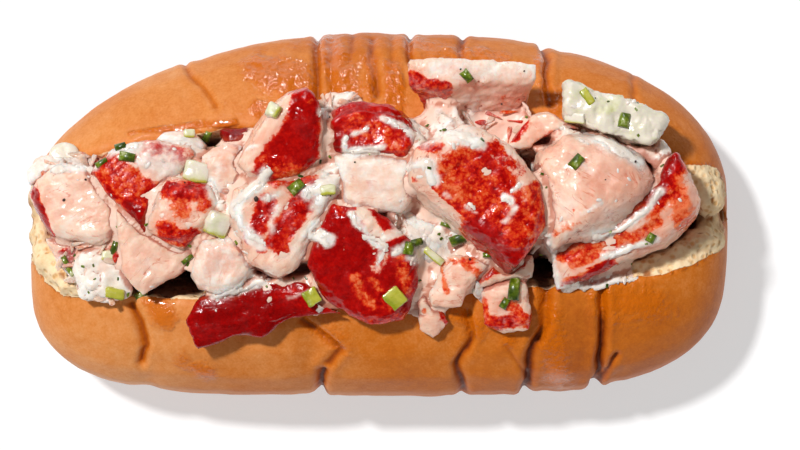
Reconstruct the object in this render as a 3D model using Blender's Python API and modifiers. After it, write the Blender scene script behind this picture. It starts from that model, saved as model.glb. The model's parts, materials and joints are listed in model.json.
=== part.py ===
"""Lobster roll: a soft split bun, laid open, heaped with dressed lobster meat.

The long axis is X, +Y is the far wall of the bun and -Y the near wall, and the roll rests on its
flat underside at Z = 0. Lengths in the tables are millimetres, and MM turns them into metres.
"""

import math

import bmesh
import bpy
from mathutils import Matrix, Vector, noise

MM = 0.001

# Driving dimensions of the bun
LENGTH = 156.0
WIDTH = 81.2
WAIST_HEIGHT = 17.0
CROWN_HEIGHT = 43.5
UNDERSIDE_DEPTH = 20.5
SECTION_SQUARENESS = 2.5
END_ROUNDING = 3.0
END_CROWDING = 0.35
# How square each quarter of the plan is: (left, right) for each wall
PLAN_SQUARENESS = {"far": (2.0, 2.4), "near": (4.3, 3.65)}
RING_SIDES = 24
STATIONS = 46

# Folds in the crust: place along the bun, depth and width, and the share that crosses the crown
FOLDS = {
    "far": [(-41, 0.9, 1.9), (-12, 1.2, 2.2), (7, 1.4, 2.0), (20, 1.1, 1.8), (38, 1.1, 2.0)],
    "near": [(-51, 0.9, 2.0), (-13, 1.5, 2.2), (19, 1.2, 2.0), (34, 1.7, 2.0), (49, 1.5, 1.8)],
}
FOLD_AT_CROWN = 0.35

# The cut between the walls: place along the bun, far and near half width at the rim, floor height
CUT = [
    (-79, 11.5, 14.5, 4),
    (-73, 12.8, 16.0, 8),
    (-66, 14.5, 17.5, 10),
    (-56, 16.5, 20.0, 11),
    (-30, 20.0, 20.0, 11),
    (0, 21.0, 19.0, 11),
    (35, 20.0, 17.0, 11),
    (60, 16.5, 15.5, 11),
    (70, 11.5, 12.5, 13),
    (79, 5.0, 5.5, 17),
]
CUT_TOP = 62.0
CUT_RIM = 44.0
CUT_LEAN = 0.55
CUT_STATIONS = 22
WALL_POINTS = 5

# The dressed salad under the large pieces: place along the bun and height of its top
BED = [(-73, 22), (-66, 27), (-50, 31), (0, 33), (30, 32), (50, 27), (63, 20), (66.5, 17)]
BED_CROWN = 2.5
BED_INSET = 1.6
BED_STATIONS = 18

# The gap between touching pieces, how far a cage stands outside its smoothed piece, how crisp a
# cut edge stays, how far in the crown of a piece begins, and how uneven its corners are
GAP = 0.3
CAGE_SWELL = 1.07
SHARPNESS = 0.55
CROWN_INSET = 2.2
UNEVEN = 1.0
UNEVEN_SCALE = 0.21

COLOURS = {
    "crust": ((0.62, 0.24, 0.07), 0.5),
    "dressing": ((0.85, 0.76, 0.66), 0.3),
    "flesh": ((0.88, 0.58, 0.44), 0.3),
    "claw": ((0.42, 0.02, 0.008), 0.25),
    "celery": ((0.66, 0.68, 0.45), 0.3),
}

# Every large piece of the filling, the uppermost first: a piece lower in the list makes room for
# those above it. "at" is its middle, "top" and "base" its heights, "corners" its cut outline seen
# from above about its middle, "lean" how far its foot stands aside of its top, "slope" how its
# top face rises along X and Y, "crown" how much that face swells, and "faces" how many it keeps.
PIECES = [
    {
        "name": "claw_big", "meat": "claw", "faces": 380,
        "at": (22.5, 5.5), "top": 57, "base": 32, "crown": 2.2,
        "slope": (-0.04, 0.1), "lean": (-4.2, -4.4),
        "corners": [(-15, 1), (-2.5, -9), (7, -16), (13.5, -7.5), (11.5, 2), (5.5, 9),
            (-3.5, 13.5), (-13.5, 8.5)],
    },
    {
        "name": "claw_tip", "meat": "claw", "faces": 300,
        "at": (-17.5, 16), "top": 56, "base": 31, "crown": 1.5,
        "slope": (0, 0.28), "lean": (-2.5, 0.5),
        "corners": [(-12, -5), (-9, -8.5), (0, -8.5), (5.5, -3.5), (6, 2), (5, 7.5), (2.5, 10.5),
            (-0.5, 9.5), (-5, 6), (-8, 2)],
    },
    {
        "name": "tail_top", "meat": "flesh", "faces": 300,
        "at": (19, 30), "top": 59, "base": 36, "crown": 0.3,
        "slope": (-0.05, 0.12), "lean": (1.5, -10),
        "corners": [(-12, -2.7), (-5.4, -4.5), (3.4, -2.8), (8.9, -3.2), (14.2, -1.8), (15, 2.3),
            (5, 3.2), (-12.6, 3.9)],
    },
    {
        "name": "tail_middle", "meat": "flesh", "faces": 260,
        "at": (-0.5, 6.5), "top": 53, "base": 31, "crown": 1,
        "slope": (0, 0.1), "lean": (0, -0.8),
        "corners": [(-6.5, 0.5), (-7, -4), (-4.5, -6), (5.5, -6), (8, -2.5), (8, 4.5), (-1.5, 6.3),
            (-9, 6)],
    },
    {
        "name": "claw_front", "meat": "claw", "faces": 360,
        "at": (-2.5, -11), "top": 50.5, "base": 31, "crown": 1.5,
        "slope": (0, 0.3), "lean": (0.5, 0.5),
        "corners": [(-10.5, 5.5), (-12, 0), (-8, -8), (0.5, -12.5), (7.5, -11.5), (11, -4),
            (10, 4), (2, 11.5), (-7, 12.5)],
    },
    {
        "name": "claw_long", "meat": "claw", "faces": 320,
        "at": (-27, -21), "top": 45.5, "base": 34, "crown": 0.8,
        "slope": (0.05, 0.22), "lean": (0.5, 1.5),
        "corners": [(-11.5, -8.5), (-4, -5), (2, -5.5), (7, -2), (20, -0.5), (10, 6), (1.5, 6.5),
            (-11.5, 2.5), (-14, -2.5)],
    },
    {
        "name": "tail_right", "meat": "flesh", "faces": 380,
        "at": (45, 7.5), "top": 53.5, "base": 27, "crown": 3,
        "slope": (-0.05, 0), "lean": (0.5, -1.5),
        "corners": [(-8.3, -16.5), (1.7, -8.4), (10.9, -2.9), (14.9, 0.4), (12.7, 3.5), (4, 9),
            (-5, 10.5), (-11, 7.5), (-11.6, 3.3), (-8.3, -4.4), (-9.8, -12)],
    },
    {
        "name": "claw_right", "meat": "claw", "faces": 400,
        "at": (54, -3.5), "top": 46, "base": 24, "crown": 2,
        "slope": (-0.05, 0.25), "lean": (1, -1.2),
        "corners": [(-14.4, -12.6), (-3, -7.7), (8, -3.3), (14.2, 3.3), (15, 6.6), (11.6, 13.2),
            (9.6, 16.3), (6.5, 11), (1.9, 8), (-7.4, 2.2), (-15.5, -4)],
    },
    {
        "name": "claw_dome", "meat": "claw", "faces": 320,
        "at": (-1.5, 17.5), "top": 52, "base": 31, "crown": 3,
        "slope": (0, -0.02), "lean": (0.5, -0.5),
        "corners": [(-8.5, -5.5), (1.5, -5.5), (9, -6), (10.5, -1), (8, 3), (3.5, 6), (-2, 6.5),
            (-6.5, 5.5), (-10, 3)],
    },
    {
        "name": "knuckle_mid", "meat": "claw", "faces": 340,
        "at": (-22.5, -3), "top": 52, "base": 31, "crown": 1.8,
        "slope": (0, 0.1), "lean": (-0.5, -1),
        "corners": [(-9.5, 1), (-4.5, -7.5), (1, -10.5), (5.5, -8), (7.5, -3), (11, 2), (14.5, 8),
            (10.5, 12.5), (-1, 11.5), (-8, 8)],
    },
    {
        "name": "claw_left", "meat": "claw", "faces": 320,
        "at": (-52, 8), "top": 48.5, "base": 28, "crown": 1.5,
        "slope": (0, -0.02), "lean": (-1.8, -1.2),
        "corners": [(1.8, -12), (4, -5), (8.5, 0.5), (12, 4.3), (10.5, 6.3), (2, 7.6), (-5.2, 5.6),
            (-9.6, 1.2), (-3.7, -6)],
    },
    {
        "name": "tail_left", "meat": "flesh", "faces": 340,
        "at": (-66, 1.5), "top": 44, "base": 22, "crown": 1.8,
        "slope": (0.12, 0), "lean": (-1.8, -0.5),
        "corners": [(-4.4, -6.3), (4.4, -8.1), (9, -6.3), (9.9, 0), (4.2, 8.2), (-3, 9.2),
            (-7.5, 5.5), (-9.3, 2.5), (-7.3, -1.1)],
    },
    {
        "name": "knuckle_left", "meat": "claw", "faces": 260,
        "at": (-42.5, 0.5), "top": 50.5, "base": 29, "crown": 2,
        "slope": (0, 0.05), "lean": (-0.5, -0.5),
        "corners": [(-6, 2.5), (-7.5, -4), (0, -8), (6.5, -3), (8, 2), (6, 5.5), (-2, 7.5)],
    },
    {
        "name": "tail_front_left", "meat": "flesh", "faces": 200,
        "at": (-49, -9), "top": 47, "base": 31, "crown": 0.8,
        "slope": (0, 0.15), "lean": (0.5, 1.5),
        "corners": [(-6, -3.5), (-2, -8.5), (5, -4.5), (9.5, -1), (10, 2), (-2, 4.5), (-7.5, 10.5)],
    },
    {
        "name": "tail_front", "meat": "flesh", "faces": 200,
        "at": (-33, -11), "top": 49, "base": 33, "crown": 1.3,
        "slope": (0, 0.18), "lean": (0, 1.2),
        "corners": [(-7, -2), (-5.5, -5), (-1.5, -6), (3.5, -4.5), (8, 1.5), (5, 4.5), (0, 6),
            (-5, 5)],
    },
    {
        "name": "knuckle_far_left", "meat": "flesh", "faces": 200,
        "at": (-32.5, 9), "top": 48.5, "base": 30, "crown": 1.8,
        "slope": (0, 0.05), "lean": (0, -0.5),
        "corners": [(-3, -5.5), (1.5, -7), (3, -2.5), (7, 3), (4.5, 5), (-1, 6), (-5.5, 3.5),
            (-6.5, 0)],
    },
    {
        "name": "celery_slab", "meat": "celery", "faces": 200,
        "at": (51, 22), "top": 50.5, "base": 34, "crown": 0.6,
        "slope": (-0.1, -0.1), "lean": (0.5, -1.5),
        "corners": [(-10.3, -1), (-6.6, -2.4), (0, -5.3), (7.7, -6.2), (11.3, -1), (6.6, 2),
            (-2.2, 3.7), (-6.6, 6.2), (-10.3, 6.6)],
    },
    {
        "name": "flap_far", "meat": "flesh", "faces": 200,
        "at": (35, 18), "top": 48.5, "base": 36, "crown": 0.3,
        "slope": (0, 0.1), "lean": (0, -1),
        "corners": [(-4, -4), (3.5, -1.5), (8.5, 0.5), (1, 4), (-1.5, 3.5), (-4, 0), (-7, -3.5)],
    },
    {
        "name": "lump_far", "meat": "dressing", "faces": 300,
        "at": (58, 12), "top": 44, "base": 33, "crown": 1.4,
        "slope": (-0.1, 0), "lean": (0, 0),
        "corners": [(-5, 4), (-4, -1), (2, -3.5), (6, -3), (5.5, 2), (1.5, 5)],
    },
    {
        "name": "knuckle_front", "meat": "flesh", "faces": 200,
        "at": (17, -14), "top": 47, "base": 31, "crown": 1.3,
        "slope": (0, 0.15), "lean": (0, 0.5),
        "corners": [(-6, -3), (-5, -6), (1, -6), (3.5, -1), (7.5, 3), (2, 5), (-2.5, 4.5)],
    },
    {
        "name": "knuckle_tip", "meat": "claw", "faces": 200,
        "at": (28, -20), "top": 44.5, "base": 31, "crown": 1.3,
        "slope": (0, 0.2), "lean": (0, 0.5),
        "corners": [(-5, -4), (-0.5, -5.8), (4.5, -5), (5, -1.5), (4, 5), (1.5, 6), (-5.5, 3.5)],
    },
    {
        "name": "knuckle_low", "meat": "claw", "faces": 200,
        "at": (28, -12.5), "top": 46, "base": 31, "crown": 1,
        "slope": (0, 0.1), "lean": (0, 0),
        "corners": [(-6.5, -3.5), (-2, -3), (5.5, -1.5), (5.5, 3.5), (-0.5, 2.5), (-5, 1.5)],
    },
    {
        "name": "shred_front", "meat": "flesh", "faces": 200,
        "at": (11, -21.5), "top": 43.5, "base": 33, "crown": 0.8,
        "slope": (0, 0.25), "lean": (0, 0.6),
        "corners": [(-2, -3.5), (1, -5.5), (4.5, -2), (1, 4.5), (-3, 5)],
    },
    {
        "name": "knuckle_centre", "meat": "flesh", "faces": 200,
        "at": (9.5, -4.5), "top": 47, "base": 32, "crown": 1,
        "slope": (0, 0), "lean": (0, 0),
        "corners": [(-4, 1.5), (-1.5, -3.5), (1.5, -6), (4.5, -4), (3, 2.5), (-5, 6.5)],
    },
    {
        "name": "strip_far", "meat": "flesh", "faces": 200,
        "at": (-42.5, 16), "top": 45.5, "base": 31, "crown": 0.8,
        "slope": (0, 0), "lean": (0, -0.5),
        "corners": [(0, -2.5), (4, -3), (5, -1), (2, 2), (-3.5, 2), (-6, -0.5)],
    },
    {
        "name": "claw_far", "meat": "claw", "faces": 200,
        "at": (-29, 16.5), "top": 44, "base": 31, "crown": 1,
        "slope": (0, -0.1), "lean": (0, -0.5),
        "corners": [(-3.5, -3), (1.5, -2.5), (5.5, -0.5), (5.5, 3), (-1, 2.5), (-5.5, 2)],
    },
    {
        "name": "lump_left", "meat": "dressing", "faces": 200,
        "at": (-60, -13.5), "top": 41.5, "base": 26, "crown": 1.8,
        "slope": (0, 0.1), "lean": (0, 0.6),
        "corners": [(-4, -4.5), (1.5, -5.8), (5.5, -4), (6.5, 0), (5, 4), (0, 6), (-4, 5), (-6.5, 1)],
    },
    {
        "name": "knuckle_low_left", "meat": "claw", "faces": 200,
        "at": (-67.5, -9), "top": 39, "base": 23, "crown": 1,
        "slope": (0.05, 0.1), "lean": (0, 0),
        "corners": [(-3, -1.5), (0.5, -5), (5, 2), (1, 3.5), (-5, 3.5)],
    },
    {
        "name": "knuckle_end", "meat": "flesh", "faces": 200,
        "at": (-73, 8.5), "top": 38, "base": 28, "crown": 1,
        "slope": (0.15, 0), "lean": (0, 0),
        "corners": [(-3, -2), (1.5, -3), (5, 1), (4, 3.5), (0, 4), (-3.5, 1)],
    },
]


def clear_scene():
    for obj in list(bpy.data.objects):
        bpy.data.objects.remove(obj)


def new_collection(name):
    collection = bpy.data.collections.new(name)
    bpy.context.scene.collection.children.link(collection)
    return collection


def new_material(name, colour, roughness):
    material = bpy.data.materials.new(name)
    material.use_nodes = True
    shader = material.node_tree.nodes["Principled BSDF"]
    shader.inputs["Base Color"].default_value = (*colour, 1.0)
    shader.inputs["Roughness"].default_value = roughness
    shader.inputs["Metallic"].default_value = 0.0
    return material


def new_object(name, bm, collection):
    mesh = bpy.data.meshes.new(name)
    bm.to_mesh(mesh)
    bm.free()
    obj = bpy.data.objects.new(name, mesh)
    collection.objects.link(obj)
    return obj


def eased(rows, place, column):
    """The column's value at this place along the bun, eased between the rows of a table."""
    if place <= rows[0][0]:
        return rows[0][column]
    for low, high in zip(rows, rows[1:]):
        if place <= high[0]:
            share = (place - low[0]) / (high[0] - low[0])
            share = share * share * (3 - 2 * share)
            return low[column] + (high[column] - low[column]) * share
    return rows[-1][column]


def signed_power(value, exponent):
    return math.copysign(abs(value) ** exponent, value)


def shrink_to_end(place, squareness):
    """1 at the middle of the bun, falling to 0 at its end in a superellipse."""
    share = min(abs(place) / (LENGTH / 2), 1.0)
    return (1.0 - share**squareness) ** (1.0 / squareness)


def fold_depth(place, wall, around):
    """How far the folds pull this point in: deepest at the sides, fading over the crown."""
    depth = sum(deep * math.exp(-(((place - at) / wide) ** 2)) for at, deep, wide in FOLDS[wall])
    return depth * min(1.0, FOLD_AT_CROWN + abs(math.cos(around)))


def loaf_point(direction):
    """Where a point of the unit sphere, with its poles on X, lies on the whole loaf."""
    along = 1.0 - 2.0 * math.acos(max(-1.0, min(1.0, direction.x))) / math.pi
    place = LENGTH / 2 * along * (1.0 + END_CROWDING * (1.0 - along * along))
    around = math.atan2(direction.z, direction.y)
    wall = "far" if direction.y > 0 else "near"
    half_width = WIDTH / 2 * shrink_to_end(place, PLAN_SQUARENESS[wall][place > 0])
    rise = CROWN_HEIGHT - WAIST_HEIGHT if direction.z > 0 else UNDERSIDE_DEPTH
    half_height = rise * shrink_to_end(place, END_ROUNDING)
    pull = fold_depth(place, wall, around)
    sideways = signed_power(math.cos(around), 2 / SECTION_SQUARENESS)
    upwards = signed_power(math.sin(around), 2 / SECTION_SQUARENESS)
    y = sideways * max(half_width - pull, 0.0)
    z = WAIST_HEIGHT + upwards * max(half_height - pull, 0.0)
    return Vector((place, y, max(z, 0.0))) * MM


def make_loaf(collection):
    """The whole bun before it is cut: a sphere drawn out into a loaf with a flat underside."""
    bm = bmesh.new()
    bmesh.ops.create_uvsphere(bm, u_segments=RING_SIDES, v_segments=STATIONS, radius=1.0)
    bmesh.ops.rotate(bm, verts=bm.verts, matrix=Matrix.Rotation(math.pi / 2, 3, "Y"))
    for vert in bm.verts:
        vert.co = loaf_point(vert.co)
    bmesh.ops.recalc_face_normals(bm, faces=bm.faces)
    return new_object("bun", bm, collection)


def loft(name, rings, collection):
    """A closed solid through rings that hold the same number of points."""
    bm = bmesh.new()
    loops = [[bm.verts.new(Vector(point) * MM) for point in ring] for ring in rings]
    for first, second in zip(loops, loops[1:]):
        for i in range(len(first)):
            j = (i + 1) % len(first)
            bm.faces.new((first[i], first[j], second[j], second[i]))
    bm.faces.new(loops[0])
    bm.faces.new(loops[-1])
    bmesh.ops.recalc_face_normals(bm, faces=bm.faces)
    return new_object(name, bm, collection)


def cut_wall(place, column, top, inset=0.0):
    """One wall of the cut up to a height, as (distance from the middle, height), foot first."""
    rim = eased(CUT, place, column) - inset
    floor = eased(CUT, place, 3) + inset
    points = []
    for i in range(1, WALL_POINTS + 1):
        height = floor + (top - floor) * i / WALL_POINTS
        points.append((rim * ((height - floor) / (CUT_RIM - floor)) ** CUT_LEAN, height))
    return points


def cut_ring(place):
    """A section of the cutter that opens the bun."""
    far, near = cut_wall(place, 1, CUT_RIM), cut_wall(place, 2, CUT_RIM)
    ring = [(place, y, z) for y, z in reversed(far)]
    ring.append((place, 0.0, eased(CUT, place, 3)))
    ring += [(place, -y, z) for y, z in near]
    ring += [(place, -near[-1][0], CUT_TOP), (place, far[-1][0], CUT_TOP)]
    return ring


def make_cutter(collection):
    first, last = CUT[0][0], CUT[-1][0]
    places = [first + (last - first) * i / (CUT_STATIONS - 1) for i in range(CUT_STATIONS)]
    return loft("bun_cutter", [cut_ring(place) for place in places], collection)


def bed_ring(place):
    """A section of the salad bed: the cut's walls up to the bed's top, which swells a little."""
    top = eased(BED, place, 1)
    far, near = cut_wall(place, 1, top, BED_INSET), cut_wall(place, 2, top, BED_INSET)
    ring = [(place, y, z) for y, z in reversed(far)]
    ring.append((place, 0.0, eased(CUT, place, 3) + BED_INSET))
    ring += [(place, -y, z) for y, z in near]
    for share in (0.6, 0.0, -0.6):
        half = near[-1][0] if share > 0 else far[-1][0]
        ring.append((place, -half * share, top + BED_CROWN * (1 - share * share)))
    return ring


def make_bed(collection):
    first, last = BED[0][0], BED[-1][0]
    places = [first + (last - first) * i / (BED_STATIONS - 1) for i in range(BED_STATIONS)]
    return loft("salad_bed", [bed_ring(place) for place in places], collection)


def make_piece(spec, collection):
    """A cut piece of meat: a prism on its outline, with a leaning foot and a swelling top."""
    corners = spec["corners"]
    bm = bmesh.new()
    bmesh.ops.create_cone(bm, cap_ends=True, segments=len(corners), radius1=1.0, radius2=1.0, depth=2.0)
    middle_x, middle_y = spec["at"]
    for ring_sign, height, shift in ((-1, spec["base"], spec["lean"]), (1, spec["top"], (0.0, 0.0))):
        ring = [v for v in bm.verts if v.co.z * ring_sign > 0 and not v.tag]
        ring.sort(key=lambda v: math.atan2(v.co.y, v.co.x) % math.tau)
        for vert, (x, y) in zip(ring, corners):
            vert.tag = True
            x, y = x * CAGE_SWELL, y * CAGE_SWELL
            slope = (spec["slope"][0] * x + spec["slope"][1] * y) * (ring_sign > 0)
            here = Vector((middle_x + x, middle_y + y, height))
            uneven = UNEVEN * noise.noise(here * UNEVEN_SCALE)
            place = (middle_x + x + shift[0], middle_y + y + shift[1], height + slope + uneven)
            vert.co = Vector(place) * MM
    bm.normal_update()
    top_face = max(bm.faces, key=lambda face: face.calc_center_median().z)
    crease = bm.edges.layers.float.new("crease_edge")
    for edge in bm.edges:
        edge[crease] = SHARPNESS
    bmesh.ops.inset_region(bm, faces=[top_face], thickness=CROWN_INSET * MM, depth=spec["crown"] * MM)
    obj = new_object(spec["name"], bm, collection)
    subdivide = obj.modifiers.new("soft_edges", "SUBSURF")
    subdivide.levels = subdivide.render_levels = 2
    return obj


def thin_out(obj, faces):
    """Merges the small faces that a cut leaves, until the object has this many."""
    if len(obj.data.polygons) > faces:
        thin = obj.modifiers.new("fewer_faces", "DECIMATE")
        thin.ratio = faces / len(obj.data.polygons)
        settle(obj)


def settle(obj):
    """Makes the object's modifiers part of its mesh, and drops the crumbs that a cut leaves."""
    graph = bpy.context.evaluated_depsgraph_get()
    mesh = bpy.data.meshes.new_from_object(obj.evaluated_get(graph))
    obj.modifiers.clear()
    obj.data = mesh
    bm = bmesh.new()
    bm.from_mesh(mesh)
    bmesh.ops.triangulate(bm, faces=bm.faces)
    largest = max(islands(bm), key=len)
    bmesh.ops.delete(bm, geom=[v for v in bm.verts if v not in largest], context="VERTS")
    bm.to_mesh(mesh)
    bm.free()


def islands(bm):
    """The separate bodies of a mesh, each as a set of its points."""
    left = set(bm.verts)
    found = []
    while left:
        body, front = set(), [left.pop()]
        while front:
            vert = front.pop()
            body.add(vert)
            for edge in vert.link_edges:
                other = edge.other_vert(vert)
                if other in left:
                    left.remove(other)
                    front.append(other)
        found.append(body)
    return found


def make_clearance(obj, collection):
    """A cutter that is the object grown by the gap that touching pieces keep."""
    bm = bmesh.new()
    bm.from_mesh(obj.data)
    bm.normal_update()
    grown = [(vert, vert.co + vert.normal * vert.calc_shell_factor() * GAP * MM) for vert in bm.verts]
    for vert, place in grown:
        vert.co = place
    cutter = new_object(obj.name + "_clearance", bm, collection)
    cutter.hide_render = True
    cutter.display_type = "WIRE"
    return cutter


def box_of(obj):
    corners = [vert.co for vert in obj.data.vertices]
    return [(min(c[i] for c in corners), max(c[i] for c in corners)) for i in range(3)]


def boxes_meet(first, second):
    return all(a[0] < b[1] and b[0] < a[1] for a, b in zip(box_of(first), box_of(second)))


def cut_away(obj, cutters, solver="EXACT"):
    for cutter in cutters:
        cut = obj.modifiers.new("clear_" + cutter.name, "BOOLEAN")
        cut.operation = "DIFFERENCE"
        cut.solver = solver
        cut.object = cutter
    settle(obj)


def paint(obj, material):
    obj.data.materials.clear()
    obj.data.materials.append(material)
    obj.data.shade_smooth()


def main():
    clear_scene()
    roll = new_collection("lobster_roll")
    helpers = new_collection("cutters")
    materials = {name: new_material(name, *look) for name, look in COLOURS.items()}

    cutter = make_cutter(helpers)
    cutter.hide_render = True
    cutter.display_type = "WIRE"
    bun = make_loaf(roll)
    cut_away(bun, [cutter])
    paint(bun, materials["crust"])
    bed = make_bed(roll)
    settle(bed)
    paint(bed, materials["dressing"])
    clearances = [make_clearance(bun, helpers), make_clearance(bed, helpers)]

    # A clearance can fold over itself in a notch of its piece, which only this solver takes
    for spec in PIECES:
        piece = make_piece(spec, roll)
        settle(piece)
        thin_out(piece, spec["faces"])
        cut_away(piece, [other for other in clearances if boxes_meet(piece, other)], "MANIFOLD")
        thin_out(piece, spec["faces"])
        paint(piece, materials[spec["meat"]])
        clearances.append(make_clearance(piece, helpers))
    for clearance in clearances:
        bpy.data.objects.remove(clearance)


main()
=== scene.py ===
import json
import math
import random

import bpy
import numpy as np
from mathutils import Matrix, Vector, noise
from mathutils.bvhtree import BVHTree

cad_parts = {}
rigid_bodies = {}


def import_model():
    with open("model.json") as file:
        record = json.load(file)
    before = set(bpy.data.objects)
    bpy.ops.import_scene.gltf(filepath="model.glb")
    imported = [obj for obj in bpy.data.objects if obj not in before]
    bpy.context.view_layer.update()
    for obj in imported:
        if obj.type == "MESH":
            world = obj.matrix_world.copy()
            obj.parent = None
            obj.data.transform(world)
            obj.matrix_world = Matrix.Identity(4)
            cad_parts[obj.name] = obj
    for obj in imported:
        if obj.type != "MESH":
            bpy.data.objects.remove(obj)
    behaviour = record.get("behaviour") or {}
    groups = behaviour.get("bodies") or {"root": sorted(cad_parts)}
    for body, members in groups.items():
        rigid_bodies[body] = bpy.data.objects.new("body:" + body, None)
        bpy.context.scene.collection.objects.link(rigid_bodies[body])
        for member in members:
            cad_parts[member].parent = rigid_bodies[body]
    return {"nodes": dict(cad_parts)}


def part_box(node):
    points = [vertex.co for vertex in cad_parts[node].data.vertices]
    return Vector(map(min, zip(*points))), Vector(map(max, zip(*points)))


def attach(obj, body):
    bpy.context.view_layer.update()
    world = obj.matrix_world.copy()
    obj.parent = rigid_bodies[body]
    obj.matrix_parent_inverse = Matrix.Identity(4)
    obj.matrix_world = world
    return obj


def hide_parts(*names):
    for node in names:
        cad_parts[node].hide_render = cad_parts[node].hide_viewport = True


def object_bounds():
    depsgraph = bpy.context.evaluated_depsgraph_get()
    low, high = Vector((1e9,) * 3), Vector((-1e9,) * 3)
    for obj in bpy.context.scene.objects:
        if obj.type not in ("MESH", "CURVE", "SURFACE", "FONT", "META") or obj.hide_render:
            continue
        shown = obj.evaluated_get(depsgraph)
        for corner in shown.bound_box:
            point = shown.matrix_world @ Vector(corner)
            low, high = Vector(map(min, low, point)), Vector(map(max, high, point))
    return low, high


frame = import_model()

mm = 0.001
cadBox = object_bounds()
cadLow, cadHigh = Vector(cadBox[0]), Vector(cadBox[1])
for item in bpy.context.selected_objects:
    item.select_set(False)


# selecting, finishing and measuring pieces

def soloSelect(piece):
    for item in bpy.context.selected_objects:
        item.select_set(False)
    piece.select_set(True)
    bpy.context.view_layer.objects.active = piece


def finishWith(piece, kind, **settings):  # adds one modifier and applies it
    soloSelect(piece)
    modifier = piece.modifiers.new(kind.lower(), kind)
    for key, value in settings.items():
        setattr(modifier, key, value)
    bpy.ops.object.modifier_apply(modifier=modifier.name)


def copyNode(node, name):  # a free copy of a CAD node, with its loose triangles joined up
    piece = bpy.data.objects.new(name, frame["nodes"][node].data.copy())
    bpy.context.scene.collection.objects.link(piece)
    piece.data.materials.clear()
    soloSelect(piece)
    bpy.ops.object.mode_set(mode="EDIT")
    bpy.ops.mesh.select_all(action="SELECT")
    bpy.ops.mesh.remove_doubles(threshold=0.01 * mm)
    bpy.ops.object.mode_set(mode="OBJECT")
    return piece


def pointsOf(piece):  # in millimetres
    flat = np.empty(len(piece.data.vertices) * 3, np.float32)
    piece.data.vertices.foreach_get("co", flat)
    return flat.reshape(-1, 3).astype(float) / mm


def normalsOf(piece):
    flat = np.empty(len(piece.data.vertices) * 3, np.float32)
    piece.data.vertex_normals.foreach_get("vector", flat)
    return flat.reshape(-1, 3).astype(float)


def movePoints(piece, points):
    piece.data.vertices.foreach_set("co", (points * mm).astype(np.float32).ravel())
    piece.data.update()


def paint(piece, name, values):  # one number a point, for the material to read
    layer = piece.data.attributes.new(name, "FLOAT", "POINT")
    layer.data.foreach_set("value", np.clip(values, 0.0, 1.0).astype(np.float32))


def paintGrain(piece, points):  # the piece's own coordinates, with its fibres along the first
    layer = piece.data.attributes.new("grain", "FLOAT_VECTOR", "POINT")
    layer.data.foreach_set("vector", points.astype(np.float32).ravel())


def wave(points, size, seed=0.0, octaves=3):  # soft noise, about -1 to 1
    shift = Vector((seed * 17.3, seed * -9.1, seed * 5.7))
    return np.array([noise.fractal(Vector(p) / size + shift, 1.0, 2.0, octaves) for p in points.tolist()])


def ease(values, low, high):
    share = np.clip((values - low) / (high - low), 0.0, 1.0)
    return share * share * (3.0 - 2.0 * share)


def settlePiece(piece, slot, material, *nodes):
    soloSelect(piece)
    bpy.ops.object.shade_smooth()
    piece.data.materials.clear()
    piece.data.materials.append(material)
    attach(piece, "root")
    if nodes:
        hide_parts(*nodes)


# finishes

def addNode(tree, kind, inputs=None, **settings):
    node = tree.nodes.new("ShaderNode" + kind)
    for key, value in settings.items():
        setattr(node, key, value)
    for key, value in (inputs or {}).items():
        if isinstance(value, bpy.types.NodeSocket):
            tree.links.new(value, node.inputs[key])
        else:
            node.inputs[key].default_value = value
    return node


def calc(tree, operation, first, second=0.0, third=None, clamp=False):
    inputs = {0: first, 1: second}
    if third is not None:
        inputs[2] = third
    return addNode(tree, "Math", inputs, operation=operation, use_clamp=clamp).outputs[0]


def swingBy(tree, noiseValue, size):  # noise of 0 to 1, turned into a swing about nothing
    return calc(tree, "MULTIPLY", calc(tree, "SUBTRACT", noiseValue, 0.5), size)


def blendColor(tree, share, first, second, kind="MIX"):
    node = addNode(tree, "Mix", {0: share, 6: first, 7: second}, data_type="RGBA", blend_type=kind)
    return node.outputs[2]


def spread(tree, value, low, high, toLow=0.0, toHigh=1.0, soft=True):
    inputs = {"Value": value, "From Min": low, "From Max": high, "To Min": toLow, "To Max": toHigh}
    kind = "SMOOTHSTEP" if soft else "LINEAR"
    return addNode(tree, "MapRange", inputs, interpolation_type=kind).outputs["Result"]


def colorRamp(tree, value, stops):
    node = addNode(tree, "ValToRGB", {"Fac": value})
    band = node.color_ramp.elements
    while len(band) < len(stops):
        band.new(0.5)
    for stop, (place, color) in zip(band, stops):
        stop.position = place
        stop.color = (*color, 1.0)
    return node.outputs["Color"]


def noiseOf(tree, vector, scale, detail=3.0, roughness=0.55, distortion=0.0):
    inputs = {"Vector": vector, "Scale": scale, "Detail": detail, "Roughness": roughness}
    inputs["Distortion"] = distortion
    return addNode(tree, "TexNoise", inputs).outputs["Fac"]


def readLayer(tree, name, output="Fac"):
    return addNode(tree, "Attribute", attribute_name=name).outputs[output]


def stretched(tree, vector, scale):
    return addNode(tree, "Mapping", {"Vector": vector, "Scale": scale}).outputs[0]


def startGroup(name, inputs, outputs):
    tree = bpy.data.node_groups.new(name, "ShaderNodeTree")
    for label, kind, value in inputs:
        socket = tree.interface.new_socket(label, in_out="INPUT", socket_type="NodeSocket" + kind)
        if value is not None:
            socket.default_value = value
    for label, kind in outputs:
        tree.interface.new_socket(label, in_out="OUTPUT", socket_type="NodeSocket" + kind)
    return tree, tree.nodes.new("NodeGroupInput").outputs, tree.nodes.new("NodeGroupOutput").inputs


def useGroup(tree, group, inputs):
    return addNode(tree, "Group", inputs, node_tree=group).outputs


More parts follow.
